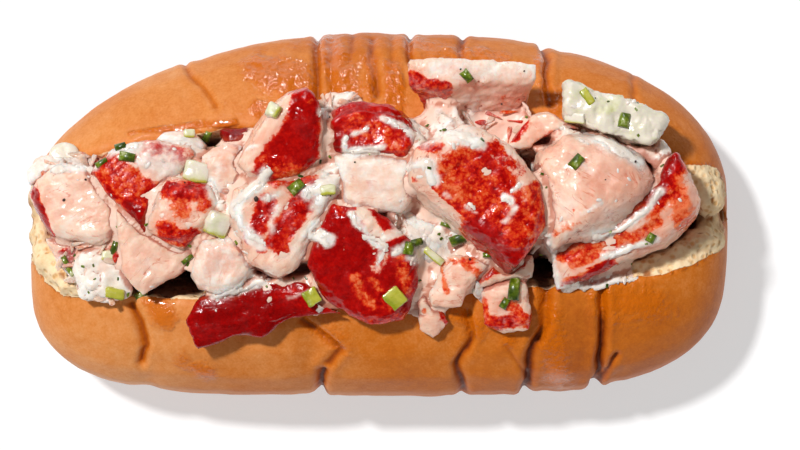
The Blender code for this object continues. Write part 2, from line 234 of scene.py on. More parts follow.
def startMaterial(name, **shader):
    material = bpy.data.materials.new(name)
    material.use_nodes = True
    tree = material.node_tree
    principled = tree.nodes["Principled BSDF"]
    for key, value in shader.items():
        principled.inputs[key.replace("_", " ")].default_value = value
    coords = addNode(tree, "TexCoord").outputs["Object"]
    return material, tree, principled.inputs, coords


def makeBrokenMask():  # a painted mask whose edge breaks into blotches and grains
    tree, given, result = startGroup(
        "brokenMask",
        [("Vector", "Vector", None), ("Mask", "Float", 0.0), ("Blotch", "Float", 250.0),
         ("Grain", "Float", 1300.0), ("Break", "Float", 0.8), ("Edge", "Float", 0.1)],
        [("Mask", "Float"), ("Grain", "Float")])
    blotch = noiseOf(tree, given["Vector"], given["Blotch"], 5.0, 0.62)
    grain = noiseOf(tree, given["Vector"], given["Grain"], 2.0, 0.5)
    both = calc(tree, "ADD", calc(tree, "MULTIPLY", blotch, 1.1), calc(tree, "MULTIPLY", grain, 0.55))
    offset = calc(tree, "MULTIPLY", calc(tree, "SUBTRACT", both, 0.825), given["Break"])
    level = calc(tree, "ADD", given["Mask"], offset)
    low = calc(tree, "SUBTRACT", 0.5, given["Edge"])
    high = calc(tree, "ADD", 0.5, given["Edge"])
    tree.links.new(spread(tree, level, low, high), result["Mask"])
    tree.links.new(grain, result["Grain"])
    return tree


def makeWetSurface():  # how wet food glints: small swells, grain and uneven gloss
    tree, given, result = startGroup(
        "wetSurface",
        [("Vector", "Vector", None), ("Swell", "Float", 450.0), ("Grain", "Float", 1800.0),
         ("Dry", "Float", 0.5), ("Wet", "Float", 0.2)],
        [("Height", "Float"), ("Roughness", "Float"), ("Coat", "Float")])
    swell = noiseOf(tree, given["Vector"], given["Swell"], 3.0, 0.5)
    grain = noiseOf(tree, given["Vector"], given["Grain"], 2.0, 0.5)
    patch = noiseOf(tree, given["Vector"], 170.0, 3.0, 0.6)
    height = calc(tree, "ADD", calc(tree, "MULTIPLY", swell, 0.7), calc(tree, "MULTIPLY", grain, 0.3))
    wet = spread(tree, patch, 0.38, 0.62)
    tree.links.new(height, result["Height"])
    tree.links.new(spread(tree, wet, 0.0, 1.0, given["Dry"], given["Wet"], False), result["Roughness"])
    tree.links.new(spread(tree, wet, 0.0, 1.0, 0.15, 0.9, False), result["Coat"])
    return tree


brokenMask = makeBrokenMask()
wetSurface = makeWetSurface()


def gapShadeLevel(tree, lumps):  # painted shade where the pieces hem each other in, with an uneven edge
    return calc(tree, "ADD", readLayer(tree, "pit"), swingBy(tree, lumps, 0.9))


def makeMeatFinish():
    material, tree, shader, coords = startMaterial(
        "lobsterMeat", Subsurface_Weight=0.55, Subsurface_Radius=(1.0, 0.55, 0.4),
        Subsurface_Scale=0.0045, Coat_Roughness=0.06, Coat_IOR=1.4, Specular_IOR_Level=0.25)
    grain = readLayer(tree, "grain", "Vector")
    fibres = noiseOf(tree, stretched(tree, grain, (0.16, 1.0, 1.0)), 0.9, 4.0, 0.6)
    lumps = noiseOf(tree, coords, 330.0, 4.0, 0.6)
    skin = useGroup(tree, brokenMask, {"Vector": coords, "Mask": readLayer(tree, "skin"), "Blotch": 380.0,
                                       "Grain": 1300.0, "Break": 1.15, "Edge": 0.16})
    film = useGroup(tree, brokenMask, {"Vector": coords, "Mask": readLayer(tree, "film"), "Blotch": 240.0,
                                       "Grain": 1000.0, "Break": 0.8, "Edge": 0.34})
    tone = readLayer(tree, "tone")
    mottle = noiseOf(tree, coords, 480.0, 5.0, 0.72)
    speck = noiseOf(tree, coords, 1500.0, 2.0, 0.5)
    jitter = addNode(tree, "TexNoise", {"Vector": coords, "Scale": 900.0, "Detail": 3.0}).outputs["Color"]
    reach = (0.0011, 0.0011, 0.0011)
    shaken = addNode(tree, "VectorMath", {0: jitter, 1: reach}, operation="MULTIPLY").outputs[0]
    shaken = addNode(tree, "VectorMath", {0: coords, 1: shaken}, operation="ADD").outputs[0]
    cells = addNode(tree, "TexVoronoi", {"Vector": shaken, "Scale": 1150.0}).outputs["Distance"]
    granules = spread(tree, cells, 0.8, 0.1)
    grainy = spread(tree, tone, 0.35, 0.7, 0.08, 0.3)
    thin = spread(tree, readLayer(tree, "skin"), 1.0, 0.35, 0.0, 0.3)
    swing = spread(tree, tone, 0.35, 0.62, 0.55, 1.9)
    heat = calc(tree, "ADD", calc(tree, "ADD", tone, thin), swingBy(tree, mottle, swing))
    heat = calc(tree, "ADD", heat, calc(tree, "MULTIPLY", calc(tree, "SUBTRACT", granules, 0.6), grainy))
    heat = calc(tree, "ADD", heat, swingBy(tree, speck, 0.2))
    red = colorRamp(tree, heat, [(0.0, (0.13, 0.0005, 0.0005)), (0.3, (0.34, 0.001, 0.001)),
                                 (0.48, (0.5, 0.004, 0.002)), (0.62, (0.64, 0.024, 0.005)),
                                 (0.78, (0.72, 0.075, 0.012)), (1.0, (0.82, 0.19, 0.07))])
    broad = noiseOf(tree, coords, 105.0, 3.0, 0.55)
    warmth = calc(tree, "ADD", calc(tree, "MULTIPLY", fibres, 0.16), calc(tree, "MULTIPLY", lumps, 0.3))
    warmth = calc(tree, "ADD", warmth, calc(tree, "MULTIPLY", broad, 0.54))
    flesh = colorRamp(tree, warmth, [(0.36, (0.79, 0.37, 0.25)), (0.45, (0.85, 0.49, 0.36)),
                                     (0.52, (0.89, 0.59, 0.45)), (0.62, (0.93, 0.72, 0.6))])
    blush = spread(tree, readLayer(tree, "skin"), 0.1, 0.6, 0.0, 0.35)
    flesh = blendColor(tree, blush, flesh, (0.86, 0.3, 0.2, 1.0))
    rosy = calc(tree, "MULTIPLY", readLayer(tree, "blush"), 0.4)
    flesh = blendColor(tree, rosy, flesh, (0.72, 0.3, 0.2, 1.0))
    thread = noiseOf(tree, stretched(tree, grain, (0.4, 1.0, 1.0)), 0.22, 3.0, 0.6, 0.8)
    thread = spread(tree, calc(tree, "ABSOLUTE", calc(tree, "SUBTRACT", thread, 0.5)), 0.022, 0.004)
    thread = calc(tree, "MULTIPLY", thread, spread(tree, lumps, 0.46, 0.6, 0.0, 0.6))
    flesh = blendColor(tree, thread, flesh, (0.66, 0.14, 0.06, 1.0))
    color = blendColor(tree, skin["Mask"], flesh, red)
    # painted shade: the meat darkens to deep red-brown in the gaps between pieces
    painted_gap_shade = spread(tree, gapShadeLevel(tree, lumps), 0.3, 0.85, 0.0, 0.7)
    color = blendColor(tree, painted_gap_shade, color, (0.36, 0.04, 0.015, 1.0))
    cream = colorRamp(tree, lumps, [(0.35, (0.8, 0.65, 0.56)), (0.5, (0.91, 0.8, 0.72)),
                                    (0.65, (0.96, 0.91, 0.85))])
    veil = calc(tree, "MULTIPLY", film["Mask"], 0.93)
    color = blendColor(tree, veil, color, cream)
    tree.links.new(color, shader["Base Color"])
    wet = useGroup(tree, wetSurface, {"Vector": coords, "Swell": 520.0, "Grain": 1500.0,
                                      "Dry": 0.34, "Wet": 0.12})
    bare = calc(tree, "MULTIPLY", calc(tree, "SUBTRACT", 1.0, skin["Mask"]), 0.14)
    tree.links.new(calc(tree, "ADD", wet["Roughness"], bare), shader["Roughness"])
    tree.links.new(calc(tree, "MULTIPLY", wet["Coat"], 0.45), shader["Coat Weight"])
    height = calc(tree, "ADD", wet["Height"], calc(tree, "MULTIPLY", fibres, 0.2))
    bumpy = calc(tree, "MULTIPLY", calc(tree, "MULTIPLY", granules, grainy), skin["Mask"])
    height = calc(tree, "ADD", height, calc(tree, "MULTIPLY", bumpy, 0.5))
    bump = addNode(tree, "Bump", {"Strength": 0.55, "Distance": 0.0006, "Height": height})
    tree.links.new(bump.outputs["Normal"], shader["Normal"])
    return material


def makeCrustFinish():
    material, tree, shader, coords = startMaterial(
        "toastedBun", Subsurface_Weight=0.05, Subsurface_Radius=(1.0, 0.5, 0.25), Subsurface_Scale=0.002,
        Coat_Roughness=0.09, Specular_IOR_Level=0.2)
    broad = noiseOf(tree, coords, 42.0, 4.0, 0.6)
    fine = noiseOf(tree, coords, 480.0, 4.0, 0.65)
    tiny = noiseOf(tree, coords, 1900.0, 2.0, 0.5)
    # the crust's toast, with painted shade along the folds
    toast_and_shade = calc(tree, "ADD", readLayer(tree, "bake_and_fold_shade"), swingBy(tree, broad, 0.5))
    toast_and_shade = calc(tree, "ADD", toast_and_shade, swingBy(tree, fine, 0.32))
    toast_and_shade = calc(tree, "ADD", toast_and_shade, swingBy(tree, tiny, 0.2))
    crust = colorRamp(tree, toast_and_shade, [(0.05, (0.8, 0.39, 0.16)), (0.28, (0.7, 0.25, 0.06)),
                                   (0.48, (0.58, 0.15, 0.008)), (0.72, (0.4, 0.08, 0.003)),
                                   (1.0, (0.14, 0.02, 0.002))])
    slick = useGroup(tree, brokenMask, {"Vector": coords, "Mask": readLayer(tree, "butter"),
                                        "Blotch": 130.0, "Grain": 700.0, "Break": 0.9, "Edge": 0.26})
    crust = blendColor(tree, calc(tree, "MULTIPLY", slick["Mask"], 0.85), crust, (0.6, 0.13, 0.002, 1.0))
    dots = addNode(tree, "TexVoronoi", {"Vector": coords, "Scale": 900.0}).outputs["Distance"]
    freckle = calc(tree, "MULTIPLY", spread(tree, dots, 0.28, 0.1), readLayer(tree, "speckle"))
    crust = blendColor(tree, freckle, crust, (0.3, 0.06, 0.012, 1.0))
    bubbles = addNode(tree, "TexVoronoi", {"Vector": coords, "Scale": 620.0}).outputs["Distance"]
    holes = spread(tree, bubbles, 0.1, 0.5)
    # the crumb's colour follows noise and is darker in its pores, which is painted shade
    soft = calc(tree, "ADD", calc(tree, "MULTIPLY", fine, 0.7), calc(tree, "MULTIPLY", holes, 0.3))
    crumb = colorRamp(tree, soft, [(0.3, (0.7, 0.4, 0.16)), (0.5, (0.84, 0.56, 0.29)),
                                   (0.7, (0.92, 0.72, 0.45))])
    # painted shade: the crumb darkens to brown in its torn hollows and low in the trough
    shade = calc(tree, "ADD", readLayer(tree, "crumb_hollow_shade"), swingBy(tree, fine, 0.8))
    crumb = blendColor(tree, spread(tree, shade, 0.2, 1.0, 0.0, 0.9), crumb, (0.34, 0.1, 0.015, 1.0))
    # painted shadow: the crumb goes near-black low in the trough and in the gaps under the heap
    crumb_shadow_share = spread(tree, readLayer(tree, "painted_crumb_shadow"), 0.0, 1.0, 0.0, 0.9)
    crumb = blendColor(tree, crumb_shadow_share, crumb, (0.07, 0.006, 0.003, 1.0))
    torn = useGroup(tree, brokenMask, {"Vector": coords, "Mask": readLayer(tree, "crumb"), "Blotch": 400.0,
                                       "Grain": 1500.0, "Break": 0.25, "Edge": 0.08})
    tree.links.new(blendColor(tree, torn["Mask"], crust, crumb), shader["Base Color"])
    gloss = spread(tree, slick["Mask"], 0.0, 1.0, 0.5, 0.13, False)
    gloss = calc(tree, "ADD", gloss, calc(tree, "MULTIPLY", torn["Mask"], 0.35), clamp=True)
    tree.links.new(gloss, shader["Roughness"])
    coat = calc(tree, "ADD", calc(tree, "MULTIPLY", slick["Mask"], 0.6), 0.02)
    tree.links.new(coat, shader["Coat Weight"])
    beads = noiseOf(tree, coords, 1150.0, 3.0, 0.6)
    height = calc(tree, "ADD", calc(tree, "MULTIPLY", fine, 0.35), calc(tree, "MULTIPLY", tiny, 0.2))
    ripples = calc(tree, "ADD", beads, noiseOf(tree, coords, 420.0, 2.0, 0.5))
    ripples = calc(tree, "MULTIPLY", ripples, slick["Mask"])
    height = calc(tree, "ADD", height, calc(tree, "MULTIPLY", ripples, 1.1))
    pores = calc(tree, "MULTIPLY", calc(tree, "MULTIPLY", holes, torn["Mask"]), 0.9)
    height = calc(tree, "ADD", height, pores)
    bump = addNode(tree, "Bump", {"Strength": 0.6, "Distance": 0.0005, "Height": height})
    tree.links.new(bump.outputs["Normal"], shader["Normal"])
    return material


def makeDressingFinish():
    material, tree, shader, coords = startMaterial(
        "creamDressing", Subsurface_Weight=0.25, Subsurface_Radius=(1.0, 0.8, 0.6), Subsurface_Scale=0.0025,
        Coat_Roughness=0.1, Specular_IOR_Level=0.5)
    lumps = noiseOf(tree, coords, 300.0, 4.0, 0.6)
    tint = noiseOf(tree, coords, 140.0, 3.0, 0.55)
    cream = colorRamp(tree, lumps, [(0.32, (0.8, 0.66, 0.55)), (0.5, (0.9, 0.8, 0.7)),
                                    (0.66, (0.95, 0.9, 0.83))])
    pink = calc(tree, "ADD", readLayer(tree, "pink"), calc(tree, "SUBTRACT", tint, 0.5))
    color = blendColor(tree, spread(tree, pink, 0.1, 0.9, 0.0, 0.8), cream, (0.92, 0.58, 0.44, 1.0))
    # painted shade: the dressing darkens to red-brown in the gaps between pieces
    painted_gap_shade = spread(tree, gapShadeLevel(tree, lumps), 0.35, 0.95, 0.0, 0.75)
    color = blendColor(tree, painted_gap_shade, color, (0.5, 0.13, 0.06, 1.0))
    # painted shade: near-black in the hollows left open
    color = blendColor(tree, readLayer(tree, "painted_shade"), color, (0.06, 0.003, 0.002, 1.0))
    tree.links.new(color, shader["Base Color"])
    wet = useGroup(tree, wetSurface, {"Vector": coords, "Swell": 600.0, "Grain": 1500.0,
                                      "Dry": 0.45, "Wet": 0.2})
    tree.links.new(wet["Roughness"], shader["Roughness"])
    tree.links.new(calc(tree, "MULTIPLY", wet["Coat"], 0.4), shader["Coat Weight"])
    bump = addNode(tree, "Bump", {"Strength": 0.4, "Distance": 0.0005, "Height": wet["Height"]})
    tree.links.new(bump.outputs["Normal"], shader["Normal"])
    return material


def makeCeleryFinish():
    material, tree, shader, coords = startMaterial(
        "celeryFlesh", Subsurface_Weight=0.2, Subsurface_Radius=(0.7, 1.0, 0.4), Subsurface_Scale=0.002,
        Coat_Roughness=0.1, Specular_IOR_Level=0.5)
    green = readLayer(tree, "green")
    patch = noiseOf(tree, coords, 280.0, 4.0, 0.6)
    level = calc(tree, "ADD", green, swingBy(tree, patch, 0.9))
    color = colorRamp(tree, level, [(0.1, (0.78, 0.71, 0.58)), (0.33, (0.68, 0.66, 0.4)),
                                    (0.52, (0.5, 0.47, 0.05)), (0.9, (0.27, 0.3, 0.01))])
    tree.links.new(color, shader["Base Color"])
    wet = useGroup(tree, wetSurface, {"Vector": coords, "Swell": 700.0, "Grain": 1900.0,
                                      "Dry": 0.42, "Wet": 0.18})
    tree.links.new(wet["Roughness"], shader["Roughness"])
    tree.links.new(wet["Coat"], shader["Coat Weight"])
    bump = addNode(tree, "Bump", {"Strength": 0.4, "Distance": 0.0004, "Height": wet["Height"]})
    tree.links.new(bump.outputs["Normal"], shader["Normal"])
    return material


def makeChiveFinish():
    material, tree, shader, coords = startMaterial(
        "chiveGreen", Subsurface_Weight=0.1, Subsurface_Radius=(0.5, 1.0, 0.2), Subsurface_Scale=0.001,
        Coat_Roughness=0.1, Specular_IOR_Level=0.5)
    patch = noiseOf(tree, coords, 420.0, 4.0, 0.6)
    color = colorRamp(tree, patch, [(0.32, (0.02, 0.045, 0.003)), (0.48, (0.07, 0.11, 0.003)),
                                    (0.6, (0.18, 0.24, 0.01)), (0.7, (0.6, 0.6, 0.35))])
    tree.links.new(color, shader["Base Color"])
    wet = useGroup(tree, wetSurface, {"Vector": coords, "Swell": 900.0, "Grain": 2400.0,
                                      "Dry": 0.4, "Wet": 0.18})
    tree.links.new(wet["Roughness"], shader["Roughness"])
    tree.links.new(wet["Coat"], shader["Coat Weight"])
    bump = addNode(tree, "Bump", {"Strength": 0.4, "Distance": 0.0003, "Height": wet["Height"]})
    tree.links.new(bump.outputs["Normal"], shader["Normal"])
    return material


def makePepperFinish():
    material, tree, shader, coords = startMaterial("crackedPepper", Roughness=0.6)
    patch = noiseOf(tree, coords, 1500.0, 3.0, 0.6)
    color = colorRamp(tree, patch, [(0.35, (0.006, 0.003, 0.003)), (0.65, (0.07, 0.03, 0.02))])
    tree.links.new(color, shader["Base Color"])
    bump = addNode(tree, "Bump", {"Strength": 0.5, "Distance": 0.0002, "Height": patch})
    tree.links.new(bump.outputs["Normal"], shader["Normal"])
    return material


meatFinish = makeMeatFinish()
chiveFinish = makeChiveFinish()
pepperFinish = makePepperFinish()
crustFinish = makeCrustFinish()
dressingFinish = makeDressingFinish()
celeryFinish = makeCeleryFinish()
print("finishes ready")


# strokes of a brush or a blade, laid out as seen from above

# how near each point is to a brush stroke, seen from above
def strokeLevel(points, low, scale, stroke, sharp=2):
    width, strength, *path = stroke
    path = [np.array(low[:2]) + np.array(place) * scale[:2] for place in zip(path[::2], path[1::2])]
    if len(path) == 1:
        path.append(path[0])
    nearest = np.full(len(points), 1e9)
    for start, end in zip(path, path[1:]):
        run = end - start
        flat = points[:, :2] - start
        along = np.clip((flat @ run) / max(run @ run, 1e-6), 0.0, 1.0)
        nearest = np.minimum(nearest, np.linalg.norm(flat - along[:, None] * run, axis=1))
    if not sharp:
        return nearest
    return strength * np.exp(-((nearest / width) ** sharp))


rollCorner = np.array(cadLow) / mm  # the roll's left front corner


# bun

bunLook = {"voxel": 0.95, "baked": 0.3, "swell": 0.3, "pores": 0.05, "torn": 0.75}

# folds in the crust: width and depth in mm, then places from the roll's left front corner
foldStrokes = [
    (0.66, 0.5, 34.6, 74, 36.3, 71.1, 39.6, 68.2, 42, 64.3),
    (0.75, 0.93, 64.4, 80.3, 64, 74.4, 64.4, 69.1, 65.1, 63.9),
    (0.88, 0.5, 67.5, 78.8, 67, 72.2, 68.3, 66.7), (0.88, 0.7, 76.2, 79.2, 76.7, 72.2, 77.6, 66.7),
    (0.75, 0.99, 84.8, 81, 84.4, 76.6, 84.8, 74), (0.75, 0.81, 96.2, 80.1, 95.8, 77, 96.2, 74.4),
    (0.75, 0.99, 113.7, 77.9, 115.1, 74.8, 114.4, 70.4, 115.1, 64.7),
    (0.66, 0.3, 134.1, 70.9, 133.7, 66.7, 135, 63),
    (0.88, 1, 23.6, 21.1, 25.8, 16.9, 26.7, 11.9, 25.8, 8.2),
    (0.88, 0.9, 61.3, 17.4, 66.2, 13.4, 69.4, 10.8, 66.6, 8.2), (0.99, 1.36, 65.5, 6, 64.6, 0.3),
    (0.83, 1.02, 97.1, 19.1, 98, 13.4, 95.1, 7.3, 96.2, 1.6),
    (0.99, 1.36, 114.4, 24.4, 113.7, 16.3, 111.1, 10.3, 110.2, 0.9),
    (0.83, 1.7, 126.5, 24.8, 126.5, 15.2, 126.3, 6, 123.8, 0.3),
    (0.66, 0.8, 129.8, 9.7, 127.6, 5.5, 125.8, 2.4), (0.66, 0.35, 71.9, 80.3, 71.4, 74.4),
    (0.66, 0.3, 80.6, 79.7, 80.2, 72.2), (0.44, 0.3, 105.4, 11.9, 110.9, 4.2)]

# where butter soaked in: width, strength, places
butterStrokes = [
    (4.84, 1, 52.1, 71.8, 58.7, 70.4, 60.4, 66.5), (2.2, 0.8, 51.2, 63.9, 60.4, 63),
    (4.4, 0.8, 67, 76.6, 71.4, 66.7), (2.64, 0.9, 80.6, 72.2, 81.5, 63.4),
    (1.76, 0.7, 75.8, 74.4, 76.2, 65.6), (0.88, 0.8, 46.2, 60.8, 23.2, 58.2),
    (3.08, 0.95, 29.3, 21.1, 31.1, 17.8), (3.08, 0.6, 35.4, 8.6, 39.6, 6),
    (3.08, 0.6, 96, 76.6, 104.3, 74.4), (3.08, 0.6, 85, 77.5, 93.3, 76.1),
    (4.4, 0.7, 114.2, 21.7, 117.5, 5.3), (5.28, 0.75, 128.4, 21.7, 137.2, 20.7),
    (3.08, 0.6, 104.3, 17.4, 106.5, 13), (3.08, 0.7, 94.4, 19.1, 99.9, 15.2),
    (3.08, 0.5, 62.6, 17.8, 70.3, 11.9), (2.2, 0.6, 117.5, 67.8, 115.7, 63.4),
    (1.76, 0.4, 53.9, 77.7, 82.4, 78.8), (2.2, 0.6, 113.1, 74.4, 114.4, 65.6)]


# torn crumb left in the two ends: place, height and half sizes in mm
crumbSpots = [
    (144.6, 49, 27, 5, 3.5, 6), (147.9, 46.8, 28, 4.5, 4, 6), (149.8, 43.7, 28, 3.6, 4, 6),
    (149.4, 41.1, 22, 4, 3.5, 4), (150.5, 38, 24, 3, 4, 5), (148.1, 34.9, 28, 4.5, 3, 6),
    (144.5, 32.7, 29, 5, 2.6, 6), (140.5, 30.7, 30, 6, 2.4, 6), (136, 29, 31, 6, 2.2, 6),
    (146.4, 35.8, 20, 4, 3, 4), (3.2, 44.6, 25, 3, 4, 5), (3.4, 41.1, 22, 3, 4, 5),
    (3.7, 35.8, 25, 3, 4, 6), (4.3, 32.7, 28, 3.5, 3, 5), (6.3, 30.1, 30, 4, 2.8, 5),
    (5.4, 33.6, 24, 4, 4, 5), (8.6, 27.4, 32, 4, 2.2, 5), (12.3, 25.1, 34, 5, 2, 5)]


def shapeCrumb(x, y, height, *halfSizes):
    bpy.ops.mesh.primitive_ico_sphere_add(subdivisions=3, radius=mm)
    lump = bpy.context.active_object
    place = Vector((rollCorner[0] + x, rollCorner[1] + y, height)) * mm
    lump.data.transform(Matrix.Translation(place) @ Matrix.Diagonal((*halfSizes, 1.0)))
    return lump


def nearCrumb(points):  # 1 on the torn lumps
    near = np.zeros(len(points))
    for x, y, height, *halfSizes in crumbSpots:
        gap = (points - np.array((rollCorner[0] + x, rollCorner[1] + y, height))) / np.array(halfSizes)
        near = np.maximum(near, ease(-np.linalg.norm(gap, axis=1), -1.45, -1.2))
    return near


# painted shadow on the crumb in the gaps under the heap: width, strength, places
crumbShadowStrokes = [
    (1.32, 1, 27.5, 24.2, 32.8, 23.7), (1.32, 1, 32.8, 23.7, 38.5, 24.4),
    (1.32, 0.9, 52.1, 28.3, 63.1, 27.9), (1.76, 1, 112.2, 31.6, 114, 24.8),
    (1.32, 0.8, 138.3, 33.6, 146, 37.5), (1.1, 0.7, 146, 37.5, 146.9, 40.6),
    (1.1, 0.5, 142, 42.6, 146, 43.7)]


def gapTo(points, stroke):  # distance in mm to a stroke, seen from above
    return strokeLevel(points, rollCorner, np.ones(3), (1.0, 1.0, *stroke[2:]), 0)


def selectFaces(piece, wanted):
    soloSelect(piece)
    bpy.ops.object.mode_set(mode="EDIT")
    bpy.ops.mesh.select_mode(type="FACE")
    bpy.ops.mesh.select_all(action="DESELECT")
    bpy.ops.object.mode_set(mode="OBJECT")
    piece.data.polygons.foreach_set("select", wanted)
    bpy.ops.object.mode_set(mode="EDIT")


def faceCentres(piece):
    flat = np.empty(len(piece.data.polygons) * 3, np.float32)
    piece.data.polygons.foreach_get("center", flat)
    return flat.reshape(-1, 3).astype(float) / mm


def crumbLevel(points, normals):  # 1 on the cut faces, 0 on the crust
    past = np.sign(points[:, 0]) * np.maximum(np.abs(points[:, 0]) - 40.0, 0.0) * 0.6
    outwards = np.stack([past, points[:, 1], points[:, 2] - 17.0], 1)
    outwards /= np.linalg.norm(outwards, axis=1)[:, None]
    return np.maximum(ease(-(normals * outwards).sum(1), -0.35, 0.05), nearCrumb(points))


def shapeBun():
    look = bunLook
    piece = copyNode("bun", "toasted_bun")
    lumps = [shapeCrumb(*spot) for spot in crumbSpots]
    soloSelect(piece)
    for lump in lumps:
        lump.select_set(True)
    bpy.ops.object.join()
    finishWith(piece, "REMESH", mode="VOXEL", voxel_size=look["voxel"] * mm)
    crumb = crumbLevel(pointsOf(piece), normalsOf(piece))
    group = piece.vertex_groups.new(name="crust")
    for index, value in enumerate(1.0 - crumb * 0.85):
        group.add([index], float(value), "REPLACE")
    finishWith(piece, "SMOOTH", factor=0.5, iterations=12, vertex_group="crust")
    piece.vertex_groups.clear()
    centres = faceCentres(piece)
    nearFold = np.min([gapTo(centres, stroke) for stroke in foldStrokes], axis=0) < 2.6
    levels = [strokeLevel(centres, rollCorner, np.ones(3), stroke) for stroke in butterStrokes]
    buttered = np.max(levels, axis=0)
    selectFaces(piece, (nearFold | (buttered > 0.3)) & (centres[:, 2] > 2.0))
    bpy.ops.mesh.subdivide(number_cuts=2)
    bpy.ops.object.mode_set(mode="OBJECT")
    points, normals = pointsOf(piece), normalsOf(piece)
    crumb = crumbLevel(points, normals)
    crust = 1.0 - ease(crumb, 0.2, 0.7)
    upper = ease(normals[:, 2], -0.45, -0.1)
    bend = wave(points, 7.0, 31.0, 3)
    bent = points + np.stack([bend, -bend, bend * 0], 1) * 0.5
    relief = wave(points, 16.0, 1.0, 3) * look["swell"] + wave(points, 3.0, 2.0, 3) * look["pores"]
    painted_shade = np.zeros(len(points))
    for stroke in foldStrokes:
        width, depth = stroke[:2]
        gap = gapTo(bent, stroke)
        relief -= depth * np.exp(-((gap / width) ** 2)) * upper
        relief += depth * 0.28 * np.exp(-(((gap - width * 2.4) / (width * 1.3)) ** 2)) * upper
        # painted shade: the crust is painted darker along the folds
        painted_shade = np.maximum(painted_shade, min(depth, 1.3) * np.exp(-((gap / (width * 0.75)) ** 2)))
    butter = np.zeros(len(points))
    for stroke in butterStrokes:
        butter = np.maximum(butter, strokeLevel(bent, rollCorner, np.ones(3), stroke, 2))
    drips = wave(points * np.array([1.0, 0.25, 1.0]), 3.2, 41.0, 3) * 0.35
    drips = drips + wave(points, 1.05, 43.0, 2) * 0.13
    relief += drips * ease(butter, 0.2, 0.6) * ease(points[:, 1], -12.0, 8.0)
    relief *= crust
    torn = wave(points, 4.5, 12.0, 4) * look["torn"] + wave(points, 1.7, 14.0, 2) * 0.3
    torn += (wave(points, 2.6, 16.0, 3) * 0.5 - 0.1) * nearCrumb(points)
    relief += torn * (1.0 - crust)
    movePoints(piece, points + normals * relief[:, None])
    nearEdge = ease(points[:, 2], 16.0, 5.0)
    nearSide = ease(-points[:, 1], 8.0, 28.0)
    along = points[:, 0] / 78.0
    # toast colour of the crust, darker towards the bottom edge, plus painted shade along the folds
    bake_and_fold_shade = look["baked"] + 0.35 * nearEdge + 0.5 * painted_shade + 0.03 * along
    bake_and_fold_shade += 0.1 * ease(along, -0.7, 0.0) + nearSide * (-0.04 + 0.14 * ease(along, -0.5, 0.7))
    rim = np.exp(-(((crumb - 0.35) / 0.25) ** 2))
    paint(piece, "crumb", crumb)
    paint(piece, "butter", np.maximum(butter, rim * 0.55))
    paint(piece, "bake_and_fold_shade", bake_and_fold_shade + rim * 0.2)
    # painted shade on the crumb, in its torn hollows and low in the trough
    low = ease(-points[:, 2] + wave(points, 5.0, 53.0, 3) * 4.0, -31.0, -23.0)
    paint(piece, "crumb_hollow_shade", np.maximum(ease(-torn, 0.15, 0.9), low) * (1.0 - crust))
    # painted shadow on the crumb low in the trough, less at the two ends
    crumb_shadow = ease(-points[:, 2] + wave(points, 6.0, 51.0, 3) * 4.0, -38.0, -32.0) * (1.0 - crust)
    crumb_shadow = crumb_shadow * (1.0 - 0.9 * ease(np.abs(points[:, 0]), 50.0, 60.0))
    for stroke in crumbShadowStrokes:
        level = strokeLevel(bent, rollCorner, np.ones(3), stroke, 4)
        crumb_shadow = np.maximum(crumb_shadow, level * ease(crumb, 0.25, 0.6) * ease(normals[:, 2], -1.0, -0.5))
    paint(piece, "painted_crumb_shadow", crumb_shadow)
    paint(piece, "speckle", nearEdge * 0.8 + 0.1)
    settlePiece(piece, "crust", crustFinish, "bun")
    print("bun", len(piece.data.polygons), "faces")
    return piece


bun = shapeBun()


# lobster pieces

